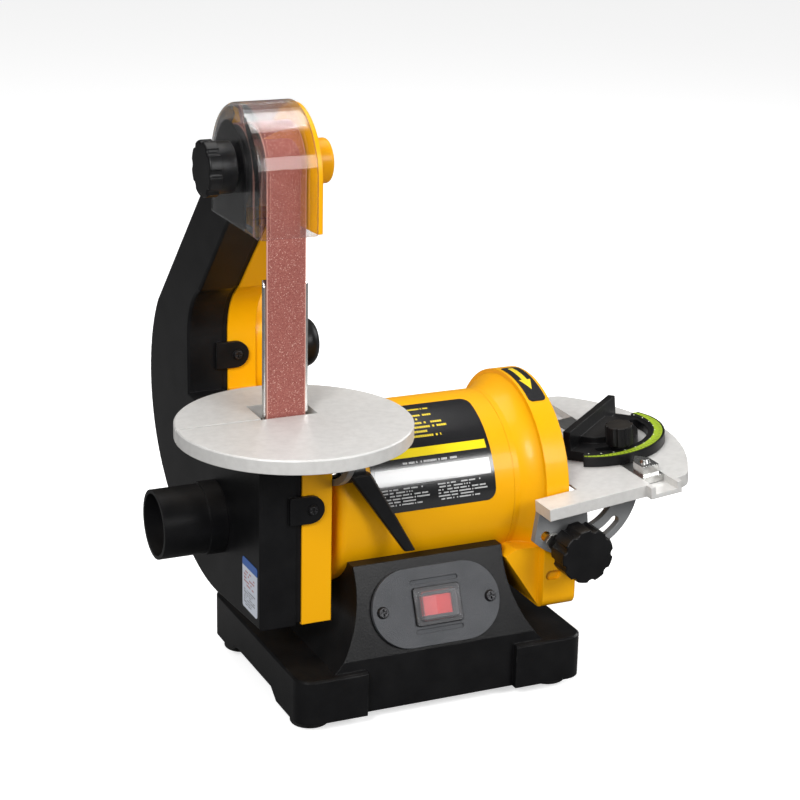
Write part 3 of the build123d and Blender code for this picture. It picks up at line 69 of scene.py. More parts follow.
# ------------------------------------------------------------------------------------ node graphs
class Graph:
    """A node tree that is filled one node per call."""

    def __init__(self, tree: bpy.types.NodeTree) -> None:
        """Takes an empty tree.

        Args:
            tree: the shader or geometry node tree to fill.
        """
        self.tree = tree

    def add(self, kind: str, settings: dict[str, Value] | None = None,
            inputs: dict[str | int, Value] | None = None) -> bpy.types.Node:
        """Adds one node.

        Args:
            kind: the node's type, such as ShaderNodeMath.
            settings: the node's own properties.
            inputs: value or source socket for each input, by name or index.

        Returns:
            The new node.
        """
        node = self.tree.nodes.new(kind)
        for name, value in (settings or {}).items():
            setattr(node, name, value)
        for name, value in (inputs or {}).items():
            self.feed(value, self.socket(node, name))
        return node

    def feed(self, value: Value, socket: bpy.types.NodeSocket) -> None:
        """Links a source socket to an input, or sets a plain value on it."""
        if isinstance(value, bpy.types.NodeSocket):
            self.tree.links.new(value, socket)
        else:
            socket.default_value = rgba(value) if socket.type == "RGBA" else value

    @staticmethod
    def socket(node: bpy.types.Node, name: str | int) -> bpy.types.NodeSocket:
        """Finds an input that is in use, by name or index."""
        if isinstance(name, int):
            return node.inputs[name]
        return next(s for s in node.inputs if s.name == name and s.enabled)

    def math(self, operation: str, *values: Value) -> bpy.types.NodeSocket:
        """Adds a Math node and returns its result."""
        node = self.add("ShaderNodeMath", {"operation": operation}, dict(enumerate(values)))
        return node.outputs[0]

    def mix(self, factor: Value, first: Value, second: Value) -> bpy.types.NodeSocket:
        """Adds a colour mix and returns its result."""
        node = self.add("ShaderNodeMix", {"data_type": "RGBA"}, {"Factor": factor, "A": first, "B": second})
        return next(s for s in node.outputs if s.enabled)

    def remap(self, value: Value, low: float, high: float, to_low: float = 0.0,
              to_high: float = 1.0) -> bpy.types.NodeSocket:
        """Adds a clamped Map Range node and returns its result."""
        node = self.add("ShaderNodeMapRange", {"clamp": True},
                        dict(enumerate((value, low, high, to_low, to_high))))
        return node.outputs[0]

    def window(self, value: Value, low: float, high: float) -> bpy.types.NodeSocket:
        """Returns 1 where value lies between low and high, else 0."""
        above, below = self.math("GREATER_THAN", value, low), self.math("LESS_THAN", value, high)
        return self.math("MULTIPLY", above, below)

    def place(self) -> bpy.types.NodeSocket:
        """Returns the surface point in Object coordinates."""
        return self.add("ShaderNodeTexCoord").outputs["Object"]

    def noise(self, scale: Value, detail: float) -> bpy.types.NodeSocket:
        """Returns cloudy noise over the surface, from 0 to 1."""
        inputs = {"Vector": self.place(), "Scale": scale, "Detail": detail}
        return self.add("ShaderNodeTexNoise", None, inputs).outputs["Fac"]

    def gap(self, centre: Point) -> bpy.types.NodeSocket:
        """Returns the distance of the surface point from a centre."""
        inputs = {0: self.place(), 1: centre}
        return self.add("ShaderNodeVectorMath", {"operation": "DISTANCE"}, inputs).outputs["Value"]

    def parts(self, vector: Value) -> tuple[bpy.types.NodeSocket, ...]:
        """Returns a vector's X, Y and Z."""
        return tuple(self.add("ShaderNodeSeparateXYZ", None, {0: vector}).outputs)

    def vector(self, *values: Value) -> bpy.types.NodeSocket:
        """Returns a vector made from up to three values."""
        return self.add("ShaderNodeCombineXYZ", None, dict(enumerate(values))).outputs[0]

    def round_motor(self) -> tuple[bpy.types.NodeSocket, bpy.types.NodeSocket]:
        """Returns X, and the angle up from the front round the motor's axis."""
        x, y, z = self.parts(self.place())
        rise = self.math("ARCTAN2", self.math("SUBTRACT", z, MOTOR_AXIS_Z), self.math("MULTIPLY", y, -1.0))
        return x, self.math("MULTIPLY", rise, 180.0 / pi)

    def uneven(self, roughness: float, scale: float, spread: float) -> bpy.types.NodeSocket:
        """Returns a roughness that drifts over the surface."""
        grain = self.group(FINE_GRAIN, {"Scale": scale, "Spread": spread})
        return self.math("ADD", grain.outputs["Shift"], roughness)

    def surface(self, inputs: dict[str | int, Value]) -> bpy.types.Node:
        """Adds the Principled shader with these inputs."""
        return self.add("ShaderNodeBsdfPrincipled", None, inputs)

    def group(self, tree: bpy.types.NodeTree, inputs: dict[str, Value]) -> bpy.types.Node:
        """Places a shader node group with its own values.

        Args:
            tree: the group's tree.
            inputs: value or source socket for each named input.

        Returns:
            The group node.
        """
        node = self.tree.nodes.new("ShaderNodeGroup")
        node.node_tree = tree
        for name, value in inputs.items():
            self.feed(value, node.inputs[name])
        return node


def rgba(value: Value) -> Value:
    """Gives a colour of three numbers its alpha, and leaves anything else as it is."""
    return (*value, 1.0) if isinstance(value, tuple) and len(value) == 3 else value


class SocketType(Enum):
    """Socket types that the groups use."""

    NUMBER = "NodeSocketFloat"
    COUNT = "NodeSocketInt"
    COLOUR = "NodeSocketColor"
    VECTOR = "NodeSocketVector"
    GEOMETRY = "NodeSocketGeometry"
    MATERIAL = "NodeSocketMaterial"


def new_group(name: str, kind: str, inputs: dict[str, SocketType],
              outputs: dict[str, SocketType]) -> tuple[Graph, bpy.types.Node, bpy.types.Node]:
    """Makes a node group with named sockets.

    Args:
        name: the group's name.
        kind: ShaderNodeTree or GeometryNodeTree.
        inputs: type of each named input.
        outputs: type of each named output.

    Returns:
        The graph, its input node and its output node.
    """
    tree = bpy.data.node_groups.new(name, kind)
    for direction, sockets in (("INPUT", inputs), ("OUTPUT", outputs)):
        for label, socket_type in sockets.items():
            tree.interface.new_socket(label, in_out=direction, socket_type=socket_type.value)
    graph = Graph(tree)
    return graph, graph.add("NodeGroupInput"), graph.add("NodeGroupOutput")


# --------------------------------------------------------------------------- shared shader effects
def make_soft_edges() -> bpy.types.NodeTree:
    """Effect: rounds edges in the normal and masks where handling has rubbed them.

    Returns:
        The group's tree.
    """
    n, v = SocketType.NUMBER, SocketType.VECTOR
    graph, given, result = new_group("soft_edges", "ShaderNodeTree",
                                     {"Radius": n, "Wear": n, "Patch Size": n}, {"Normal": v, "Edge": n})
    rounded = graph.add("ShaderNodeBevel", {"samples": 4}, {"Radius": given.outputs["Radius"]})
    flat = graph.add("ShaderNodeNewGeometry").outputs["True Normal"]
    agree = graph.add("ShaderNodeVectorMath", {"operation": "DOT_PRODUCT"},
                      {0: rounded.outputs["Normal"], 1: flat})
    edge = graph.remap(agree.outputs["Value"], 0.995, 0.90)
    rubbed = graph.remap(graph.noise(given.outputs["Patch Size"], 5.0), 0.52, 0.66)
    mask = graph.math("MULTIPLY", graph.math("MULTIPLY", edge, rubbed), given.outputs["Wear"])
    graph.feed(rounded.outputs["Normal"], result.inputs["Normal"])
    graph.feed(mask, result.inputs["Edge"])
    return graph.tree


def make_fine_grain() -> bpy.types.NodeTree:
    """Effect: the pebbled skin of powder coat, moulded plastic and cast metal.

    Returns:
        The group's tree.
    """
    n = SocketType.NUMBER
    graph, given, result = new_group("fine_grain", "ShaderNodeTree", {"Scale": n, "Spread": n},
                                     {"Height": n, "Shift": n})
    scale, spread = given.outputs["Scale"], given.outputs["Spread"]
    pebbles = graph.add("ShaderNodeTexVoronoi", {"feature": "SMOOTH_F1"},
                        {"Vector": graph.place(), "Scale": scale, "Smoothness": 0.6})
    cloud = graph.math("MULTIPLY", graph.noise(scale, 3.0), 0.5)
    wide = graph.math("SUBTRACT", graph.noise(22.0, 4.0), 0.5)
    graph.feed(graph.math("ADD", pebbles.outputs["Distance"], cloud), result.inputs["Height"])
    graph.feed(graph.math("MULTIPLY", wide, spread), result.inputs["Shift"])
    return graph.tree


def make_settled_dust() -> bpy.types.NodeTree:
    """Effect: a light film of sanding dust on what faces up.

    Returns:
        The group's tree.
    """
    n, c = SocketType.NUMBER, SocketType.COLOUR
    graph, given, result = new_group("settled_dust", "ShaderNodeTree", {"Colour": c, "Amount": n},
                                     {"Colour": c, "Cover": n})
    facing = graph.parts(graph.add("ShaderNodeNewGeometry").outputs["Normal"])
    upward = graph.remap(facing[2], 0.35, 1.0)
    lying = graph.math("MULTIPLY", upward, graph.remap(graph.noise(34.0, 6.0), 0.38, 0.72))
    cover = graph.math("MULTIPLY", lying, given.outputs["Amount"])
    graph.feed(graph.mix(cover, given.outputs["Colour"], DUST_COLOUR), result.inputs["Colour"])
    graph.feed(cover, result.inputs["Cover"])
    return graph.tree


def make_print_rows() -> bpy.types.NodeTree:
    """Effect: rows of short printed dashes, which say nothing.

    Returns:
        The group's tree.
    """
    n = SocketType.NUMBER
    graph, given, result = new_group(
        "print_rows", "ShaderNodeTree", {"Across": n, "Up": n, "Rows": n, "Marks": n, "Density": n}, {"Ink": n})
    across, up = given.outputs["Across"], given.outputs["Up"]
    line = graph.math("MULTIPLY", up, given.outputs["Rows"])
    mark = graph.math("MULTIPLY", across, given.outputs["Marks"])
    row, column = graph.math("FLOOR", line), graph.math("FLOOR", mark)
    chance = graph.add("ShaderNodeTexWhiteNoise", {"noise_dimensions": "2D"},
                       {"Vector": graph.vector(column, row)})
    inked = graph.math("LESS_THAN", chance.outputs["Value"], given.outputs["Density"])
    length = graph.add("ShaderNodeTexWhiteNoise", {"noise_dimensions": "1D"}, {"W": row})
    ends = graph.math("LESS_THAN", across, graph.remap(length.outputs["Value"], 0.0, 1.0, 0.62, 1.0))
    tall = graph.window(graph.math("FRACT", line), 0.28, 0.74)
    wide = graph.math("GREATER_THAN", graph.math("FRACT", mark), 0.16)
    inside = graph.math("MULTIPLY", graph.window(up, 0.0, 1.0), graph.window(across, 0.0, 1.0))
    ink = graph.math("MULTIPLY", graph.math("MULTIPLY", inked, ends), graph.math("MULTIPLY", tall, wide))
    graph.feed(graph.math("MULTIPLY", ink, inside), result.inputs["Ink"])
    return graph.tree


SOFT_EDGES = make_soft_edges()
FINE_GRAIN = make_fine_grain()
SETTLED_DUST = make_settled_dust()
PRINT_ROWS = make_print_rows()


# -------------------------------------------------------------------------------------- finishes
class Finish:
    """A finish that makes its material once."""

    name: str

    def material(self) -> bpy.types.Material:
        """Returns this finish's material, made on the first call."""
        label = f"{self.name}_finish"
        made = bpy.data.materials.get(label)
        if made is None:
            made = bpy.data.materials.new(label)
            made.use_nodes = True
            made.node_tree.nodes.clear()
            graph = Graph(made.node_tree)
            shader = self.shade(graph)
            output = graph.add("ShaderNodeOutputMaterial")
            graph.feed(shader.outputs[0], output.inputs["Surface"])
        return made

    def shade(self, graph: Graph) -> bpy.types.Node:
        """Fills the material's tree and returns its last shader node."""
        raise NotImplementedError


@dataclass(frozen=True)
class Skin(Finish):
    """An opaque finish: paint, plastic, rubber or metal.

    A second colour mottles the first, edges wear to a third, and dust lies on what faces up.
    """

    name: str
    colour: Colour
    second: Colour
    roughness: float
    metallic: float = 0.0
    coat: float = 0.0
    coat_roughness: float = 0.08
    specular: float = 0.5
    mottle_scale: float = 60.0
    grain_scale: float = 900.0
    grain_depth: float = 0.15
    grain_height: float = 0.0004
    spread: float = 0.12
    edge_radius: float = 0.0006
    patch_size: float = 95.0
    wear: float = 0.25
    worn: Colour = (0.45, 0.44, 0.42)
    dust: float = 0.10
    dust_roughness: float = 0.35

    def relief(self, graph: Graph) -> bpy.types.NodeSocket:
        """Returns the height that the bump follows."""
        return graph.group(FINE_GRAIN, {"Scale": self.grain_scale, "Spread": self.spread}).outputs["Height"]

    def shade(self, graph: Graph) -> bpy.types.Node:
        """Builds the Principled surface with its edges, grain and dust."""
        edges = graph.group(SOFT_EDGES, {"Radius": self.edge_radius, "Wear": self.wear,
                                         "Patch Size": self.patch_size})
        tint = graph.mix(graph.remap(graph.noise(self.mottle_scale, 6.0), 0.35, 0.68), self.colour, self.second)
        rubbed = graph.mix(edges.outputs["Edge"], tint, self.worn)
        dusted = graph.group(SETTLED_DUST, {"Colour": rubbed, "Amount": self.dust})
        bump = graph.add("ShaderNodeBump", None, {
            "Strength": self.grain_depth, "Distance": self.grain_height, "Height": self.relief(graph),
            "Normal": edges.outputs["Normal"]})
        rough = graph.math("ADD", graph.uneven(self.roughness, self.grain_scale, self.spread),
                           graph.math("MULTIPLY", dusted.outputs["Cover"], self.dust_roughness))
        return graph.surface({
            "Base Color": dusted.outputs["Colour"], "Metallic": self.metallic, "Roughness": rough,
            "Normal": bump.outputs["Normal"], "Coat Weight": self.coat, "Coat Roughness": self.coat_roughness,
            "Specular IOR Level": self.specular})


@dataclass(frozen=True)
class TurnedMetal(Skin):
    """Metal with fine lathe marks around an axis along X."""

    centre: tuple[float, float] = (0.0, MOTOR_AXIS_Z)
    rings: float = 2600.0

    def relief(self, graph: Graph) -> bpy.types.NodeSocket:
        """Returns rings about the turning axis."""
        shifted = graph.add("ShaderNodeVectorMath", {"operation": "SUBTRACT"},
                            {0: graph.place(), 1: (0.0, *self.centre)})
        x, y, z = graph.parts(shifted.outputs[0])
        square = graph.math("ADD", graph.math("POWER", y, 2.0), graph.math("POWER", z, 2.0))
        run = graph.math("ADD", graph.math("SQRT", square), x)
        return graph.math("SINE", graph.math("MULTIPLY", run, self.rings))


@dataclass(frozen=True)
class Abrasive(Finish):
    """Coated abrasive: resin-bonded grit, with a pale edge where the belt is slit."""

    name: str
    resin: Colour = (0.210, 0.050, 0.040)
    grit: Colour = (0.350, 0.115, 0.092)
    spark: Colour = (0.62, 0.38, 0.32)
    slit: Colour = (0.66, 0.36, 0.30)
    grit_scale: float = 2300.0
    grit_height: float = 0.0005
    edge_at: tuple[float, float] | None = None
    edge_width: float = 0.0005

    def shade(self, graph: Graph) -> bpy.types.Node:
        """Builds the gritty surface."""
        grains = graph.add("ShaderNodeTexVoronoi", None, {"Vector": graph.place(), "Scale": self.grit_scale})
        tone = graph.add("ShaderNodeSeparateColor", None, {0: grains.outputs["Color"]})
        share = graph.math("ADD", graph.math("MULTIPLY", tone.outputs[0], 0.75),
                           graph.math("MULTIPLY", graph.noise(160.0, 5.0), 0.35))
        colour = graph.mix(share, self.resin, self.grit)
        colour = graph.mix(graph.math("GREATER_THAN", tone.outputs[1], 0.955), colour, self.spark)
        if self.edge_at:
            low, high = self.edge_at
            across = graph.parts(graph.place())[0]
            off = graph.math("ABSOLUTE", graph.math("SUBTRACT", across, (low + high) / 2))
            rim = graph.math("GREATER_THAN", off, (high - low) / 2 - self.edge_width)
            colour = graph.mix(rim, colour, self.slit)
        bump = graph.add("ShaderNodeBump", None, {"Strength": 0.7, "Distance": self.grit_height,
                                                  "Height": tone.outputs[2]})
        return graph.surface({"Base Color": colour, "Normal": bump.outputs["Normal"],
                              "Roughness": graph.remap(tone.outputs[0], 0.0, 1.0, 0.95, 0.62)})


@dataclass(frozen=True)
class ClearPlastic(Finish):
    """Clear or smoky plastic, which lets light through to what it covers."""

    name: str
    colour: Colour
    roughness: float = 0.03
    smear: float = 0.015
    body: float = 0.30
    rim: float = 0.90
    clearness: float = 1.0
    haze_scale: float = 40.0
    shadow_loss: float = 0.85

    def shade(self, graph: Graph) -> bpy.types.Node:
        """Builds the clear surface, with faint smears."""
        rough = graph.remap(graph.noise(self.haze_scale, 7.0), 0.45, 0.75, self.roughness,
                            self.roughness + self.smear)
        ray = graph.add("ShaderNodeLightPath")
        facing = graph.add("ShaderNodeLayerWeight", None, {"Blend": 0.35}).outputs["Facing"]
        body = graph.remap(facing, 0.15, 0.95, self.body, self.rim)
        loss = graph.math("MULTIPLY", ray.outputs["Is Shadow Ray"], self.shadow_loss)
        alpha = graph.math("MULTIPLY", body, graph.math("SUBTRACT", 1.0, loss))
        return graph.surface({"Base Color": self.colour, "Roughness": rough, "IOR": 1.46, "Alpha": alpha,
                              "Transmission Weight": self.clearness})


@dataclass(frozen=True)
class PrintBlock:
    """A block of dashes on a label, between two angles and two shares of its width."""

    low: float
    high: float
    left: float
    right: float
    rows: int
    marks: int
    colour: Colour
    density: float = 0.78

    def ink(self, graph: Graph, across: Value, up: Value, under: Value) -> bpy.types.NodeSocket:
        """Prints the block over a colour.

        Args:
            graph: the label's graph.
            across: share of the label's width.
            up: height on the label, in the block's own measure.
            under: the colour underneath.

        Returns:
            The printed colour.
        """
        over = graph.math("DIVIDE", graph.math("SUBTRACT", across, self.left), self.right - self.left)
        rise = graph.math("DIVIDE", graph.math("SUBTRACT", up, self.low), self.high - self.low)
        rows = graph.group(PRINT_ROWS, {"Across": over, "Up": rise, "Rows": float(self.rows),
                                        "Marks": float(self.marks), "Density": self.density})
        return graph.mix(rows.outputs["Ink"], under, self.colour)


@dataclass(frozen=True)
class MotorFilm(Finish):
    """The motor's wrapped label: black film with a yellow stripe and blocks of dashes, and a painted reflection: a
    grey band, paler towards +X, in place of a lamp's reflection.
    """

    name: str
    x_span: tuple[float, float]
    stripe: tuple[float, float]
    # Angles of the painted reflection band, in degrees up from the front.
    painted_reflection_band: tuple[float, float]
    blocks: tuple[PrintBlock, ...]
    margin: float = 0.03
    film: Colour = (0.012, 0.012, 0.013)
    yellow: Colour = (0.86, 0.66, 0.01)
    # Ends of the painted reflection's grey: dim at low X, pale at high X.
    reflection_dim: Colour = (0.30, 0.30, 0.30)
    reflection_pale: Colour = (0.52, 0.52, 0.52)

    def shade(self, graph: Graph) -> bpy.types.Node:
        """Builds the film in the motor's own round coordinates."""
        x, up = graph.round_motor()
        across = graph.remap(x, *self.x_span)
        inner = graph.window(across, self.margin, 1.0 - self.margin)
        stripe = graph.math("MULTIPLY", graph.window(up, *self.stripe), inner)
        colour = graph.mix(stripe, self.film, self.yellow)
        # Painted reflection: grey across the band's angles, paler towards +X, in place of a lamp's reflection on the
        # glossy film.
        painted_reflection = graph.mix(across, self.reflection_dim, self.reflection_pale)
        colour = graph.mix(graph.math("MULTIPLY", graph.window(up, *self.painted_reflection_band), inner), colour, painted_reflection)
        for block in self.blocks:
            colour = block.ink(graph, across, up, colour)
        return graph.surface({"Base Color": colour, "Roughness": graph.uneven(0.20, 500.0, 0.06),
                              "Coat Weight": 0.6, "Coat Roughness": 0.12})


@dataclass(frozen=True)
class ArrowFilm(Finish):
    """The rim label: an arrow that shows which way the disc turns."""

    name: str
    middle_x: float
    tail: float = 95.0
    neck: float = 77.0
    tip: float = 67.5
    shaft: float = 0.0019
    barb: float = 0.0042
    film: Colour = (0.012, 0.012, 0.013)
    yellow: Colour = (0.86, 0.62, 0.02)

    def shade(self, graph: Graph) -> bpy.types.Node:
        """Builds the film in the motor's own round coordinates."""
        x, up = graph.round_motor()
        off = graph.math("ABSOLUTE", graph.math("SUBTRACT", x, self.middle_x))
        shaft = graph.math("MULTIPLY", graph.window(up, self.neck, self.tail),
                           graph.math("LESS_THAN", off, self.shaft))
        flank = graph.math("LESS_THAN", off, graph.remap(up, self.tip, self.neck, 0.0, self.barb))
        head = graph.math("MULTIPLY", graph.window(up, self.tip, self.neck), flank)
        colour = graph.mix(graph.math("MAXIMUM", shaft, head), self.film, self.yellow)
        return graph.surface({"Base Color": colour, "Roughness": graph.uneven(0.25, 500.0, 0.06),
                              "Coat Weight": 0.5, "Coat Roughness": 0.15})


@dataclass(frozen=True)
class CareFilm(Finish):
    """The small white label on the belt cover, with a blue head and rows of dashes."""

    name: str
    low: tuple[float, float]
    high: tuple[float, float]
    head: float = 0.84
    paper: Colour = (0.66, 0.70, 0.78)
    blue: Colour = (0.045, 0.13, 0.42)
    blocks: tuple[PrintBlock, ...] = (PrintBlock(0.45, 0.78, 0.1, 0.9, 5, 9, (0.42, 0.10, 0.09), 0.7),
                                      PrintBlock(0.06, 0.40, 0.1, 0.9, 7, 16, (0.10, 0.10, 0.12), 0.7))

    def shade(self, graph: Graph) -> bpy.types.Node:
        """Builds the film in the cover's own Y and Z."""
        _, y, z = graph.parts(graph.place())
        across = graph.remap(y, self.low[0], self.high[0], 1.0, 0.0)
        up = graph.remap(z, self.low[1], self.high[1])
        colour = graph.mix(graph.math("GREATER_THAN", up, self.head), self.paper, self.blue)
        for block in self.blocks:
            colour = block.ink(graph, across, up, colour)
        return graph.surface({"Base Color": colour, "Roughness": graph.uneven(0.35, 400.0, 0.08)})


@dataclass(frozen=True)
class ScaleFilm(Finish):
    """The miter scale: black, with a green crescent towards its outer side."""

    name: str
    centre: Point
    reach: float
    ink: Colour = (0.006, 0.006, 0.006)
    green: Colour = (0.30, 0.42, 0.02)

    def shade(self, graph: Graph) -> bpy.types.Node:
        """Builds the film round the head's own turning axis."""
        crescent = graph.math("GREATER_THAN", graph.gap(self.centre), self.reach)
        return graph.surface({"Base Color": graph.mix(crescent, self.ink, self.green),
                              "Specular IOR Level": 0.3, "Roughness": graph.uneven(0.40, 900.0, 0.08)})


@dataclass(frozen=True)
class LitPlastic(Finish):
    """Red plastic with a lamp behind it, brighter in the middle."""

    name: str
    colour: Colour
    centre: Point
    reach: float = 0.011
    dim: Colour = (0.12, 0.001, 0.001)
    bright: Colour = (0.80, 0.020, 0.015)
    power: float = 0.35

    def shade(self, graph: Graph) -> bpy.types.Node:
        """Builds the glowing surface."""
        near = graph.remap(graph.gap(self.centre), 0.0, self.reach, 1.0, 0.15)
        return graph.surface({
            "Base Color": self.colour, "Roughness": graph.uneven(0.28, 1400.0, 0.1), "Coat Weight": 0.4,
            "Emission Color": graph.mix(near, self.dim, self.bright), "Emission Strength": self.power})


YELLOW_PAINT = Skin("yellow_paint", (0.83, 0.392, 0.001), (0.80, 0.365, 0.001), 0.36, coat=0.09,
                    coat_roughness=0.12, specular=0.17, mottle_scale=8.0, grain_scale=520.0, grain_depth=0.07,
                    wear=0.10, worn=(0.95, 0.62, 0.12), edge_radius=0.0011, dust=0.03)
BLACK_ENAMEL = Skin("black_enamel", (0.004, 0.004, 0.0045), (0.007, 0.007, 0.0075), 0.33, coat=0.03,
                    coat_roughness=0.16, specular=0.16, grain_scale=700.0, grain_depth=0.10, wear=0.35,
                    worn=(0.10, 0.10, 0.10), edge_radius=0.0009, dust=0.02)
COVER_PLASTIC = Skin("cover_plastic", (0.004, 0.004, 0.0045), (0.007, 0.007, 0.0075), 0.38, specular=0.14,
                     grain_scale=1100.0, grain_depth=0.09, worn=(0.08, 0.08, 0.08), edge_radius=0.0008, dust=0.02)
KNOB_PLASTIC = Skin("knob_plastic", (0.004, 0.004, 0.0045), (0.008, 0.008, 0.0085), 0.34, specular=0.20,
                    grain_scale=1400.0, grain_depth=0.08, wear=0.30, worn=(0.10, 0.10, 0.10), dust=0.06)
PANEL_PLASTIC = Skin("panel_plastic", (0.055, 0.058, 0.064), (0.068, 0.071, 0.078), 0.52, grain_scale=2300.0,
                     grain_depth=0.55, spread=0.08, wear=0.2, worn=(0.16, 0.16, 0.17))
RUBBER = Skin("foot_rubber", (0.020, 0.020, 0.020), (0.032, 0.031, 0.030), 0.72, specular=0.3,
              grain_scale=800.0, grain_depth=0.25, wear=0.2, worn=(0.07, 0.07, 0.07), dust=0.25)
CAST_TABLE = Skin("cast_table", (0.70, 0.69, 0.67), (0.64, 0.63, 0.61), 0.48, metallic=0.35,
                  mottle_scale=210.0, grain_scale=1500.0, grain_depth=0.10, spread=0.16, wear=0.8,
                  worn=(0.80, 0.80, 0.79), edge_radius=0.0007, dust=0.03)
BRACKET_PAINT = Skin("bracket_paint", (0.25, 0.255, 0.26), (0.21, 0.215, 0.22), 0.42, metallic=0.3,
                     wear=0.5, worn=(0.55, 0.55, 0.55))
STEEL = Skin("bright_steel", (0.62, 0.62, 0.61), (0.52, 0.52, 0.51), 0.26, metallic=1.0, mottle_scale=300.0,
             grain_scale=1800.0, grain_depth=0.06, wear=0.4, worn=(0.85, 0.85, 0.84))
ZINC = Skin("zinc_plate", (0.58, 0.57, 0.53), (0.49, 0.48, 0.44), 0.30, metallic=1.0, mottle_scale=500.0,
            grain_scale=2600.0, grain_depth=0.05, wear=0.3, worn=(0.8, 0.8, 0.78))
BLACK_OXIDE = Skin("black_oxide", (0.028, 0.028, 0.030), (0.045, 0.045, 0.048), 0.34, metallic=0.8,
                   mottle_scale=500.0, grain_scale=2600.0, grain_depth=0.05, wear=0.5, worn=(0.35, 0.35, 0.35))
CORE_STEEL = Skin("core_steel", (0.24, 0.235, 0.23), (0.17, 0.165, 0.16), 0.48, metallic=0.9,
                  grain_scale=1500.0)
COPPER = Skin("lacquered_copper", (0.62, 0.24, 0.09), (0.45, 0.15, 0.05), 0.30, metallic=0.9,
              mottle_scale=700.0, grain_scale=1200.0, grain_depth=0.5)
FAN_PLASTIC = Skin("fan_plastic", (0.10, 0.10, 0.10), (0.13, 0.13, 0.13), 0.5)
WHEEL_PLASTIC = Skin("wheel_plastic", (0.05, 0.05, 0.052), (0.07, 0.07, 0.07), 0.45, dust=0.3)
SHAFT_STEEL = TurnedMetal("shaft_steel", (0.60, 0.60, 0.59), (0.54, 0.54, 0.53), 0.22, metallic=1.0,
                          grain_depth=0.12)
DISC_ALUMINIUM = TurnedMetal("disc_aluminium", (0.58, 0.58, 0.57), (0.52, 0.52, 0.51), 0.32, metallic=1.0,
                             grain_depth=0.25)
SCALE_INK = Skin("scale_ink", (0.010, 0.010, 0.010), (0.02, 0.02, 0.02), 0.45, wear=0.0, edge_radius=0.00005)
SCALE_WHITE = Skin("scale_white", (0.80, 0.84, 0.62), (0.72, 0.76, 0.55), 0.45, wear=0.0, edge_radius=0.00005)
SMOKY_CLEAR = ClearPlastic("smoky_clear", (0.62, 0.62, 0.63), roughness=0.008)
CLEAR_BOOT = ClearPlastic("clear_boot", (0.50, 0.50, 0.52), roughness=0.012, body=0.42, clearness=0.66)
DISC_GRIT = Abrasive("disc_grit")


# ------------------------------------------------------------------------------- mesh helpers
def flat_mesh(name: str, fill: Callable[[bmesh.types.BMesh], None]) -> bpy.types.Object:
    """Makes a mesh object at the origin.

    Args:
        name: the piece's name.
        fill: adds the geometry to an empty bmesh.

    Returns:
        The linked object.
    """
    mesh = bpy.data.meshes.new(name)
    work = bmesh.new()
    fill(work)
    work.to_mesh(mesh)
    work.free()
    return link(bpy.data.objects.new(name, mesh))


def link(obj: bpy.types.Object) -> bpy.types.Object:
    """Links an object to the scene and returns it."""
    bpy.context.scene.collection.objects.link(obj)
    return obj


def settle(obj: bpy.types.Object, place: Matrix | None = None) -> bpy.types.Object:
    """Turns an object's evaluated shape into a plain mesh, with its place in the mesh.

    Args:
        obj: an object with live modifiers.
        place: where the shape goes, if it isn't there yet.

    Returns:
        A new object of the same name, at the origin.
    """
    bpy.context.view_layer.update()
    graph = bpy.context.evaluated_depsgraph_get()
    mesh = bpy.data.meshes.new_from_object(obj.evaluated_get(graph))
    name = obj.name
    bpy.data.objects.remove(obj)
    mesh.transform(place or Matrix.Identity(4))
    mesh.name = name
    return link(bpy.data.objects.new(name, mesh))


def run_tree(name: str, tree: bpy.types.NodeTree, inputs: dict[str, Value], place: Matrix,
             source: bpy.types.Object | None = None) -> bpy.types.Object:
    """Runs a Geometry Nodes tree and keeps its result as a plain mesh.

    Args:
        name: the piece's name.
        tree: the geometry tree.
        inputs: value of each named input.
        place: where the result goes.
        source: the object that the tree starts from, or none.

    Returns:
        The piece, at the origin.
    """
    obj = source or flat_mesh(name, lambda work: None)
    obj.name = name
    modifier = obj.modifiers.new("nodes", "NODES")
    modifier.node_group = tree
    for item in tree.interface.items_tree:
        if item.item_type == "SOCKET" and item.in_out == "INPUT" and item.name in inputs:
            modifier[item.identifier] = inputs[item.name]
    return settle(obj, place)


def shade_smooth(obj: bpy.types.Object, angle: float) -> None:
    """Shades a mesh smooth, except over edges sharper than the angle."""
    obj.data.polygons.foreach_set("use_smooth", [True] * len(obj.data.polygons))
    obj.data.set_sharp_from_angle(angle=radians(angle))


def frame_matrix(origin: Sequence[float], x_axis: Sequence[float], z_axis: Sequence[float]) -> Matrix:
    """Returns the matrix of a frame given by its origin and its X and Z axes."""
    z = Vector(z_axis).normalized()
    x = (Vector(x_axis) - z * Vector(x_axis).dot(z)).normalized()
    y = z.cross(x)
    turn = Matrix((x, y, z)).transposed()
    return Matrix.Translation(Vector(origin)) @ turn.to_4x4()


# ------------------------------------------------------------------------------ geometry trees
def finish_tree(graph: Graph, shape: bpy.types.NodeSocket, given: bpy.types.Node,
                result: bpy.types.Node) -> None:
    """Ends a geometry tree: instances made real, then the material."""
    real = graph.add("GeometryNodeRealizeInstances", None, {0: shape})
    dressed = graph.add("GeometryNodeSetMaterial", None, {"Geometry": real.outputs[0],
                                                          "Material": given.outputs["Material"]})
    graph.feed(dressed.outputs[0], result.inputs[0])


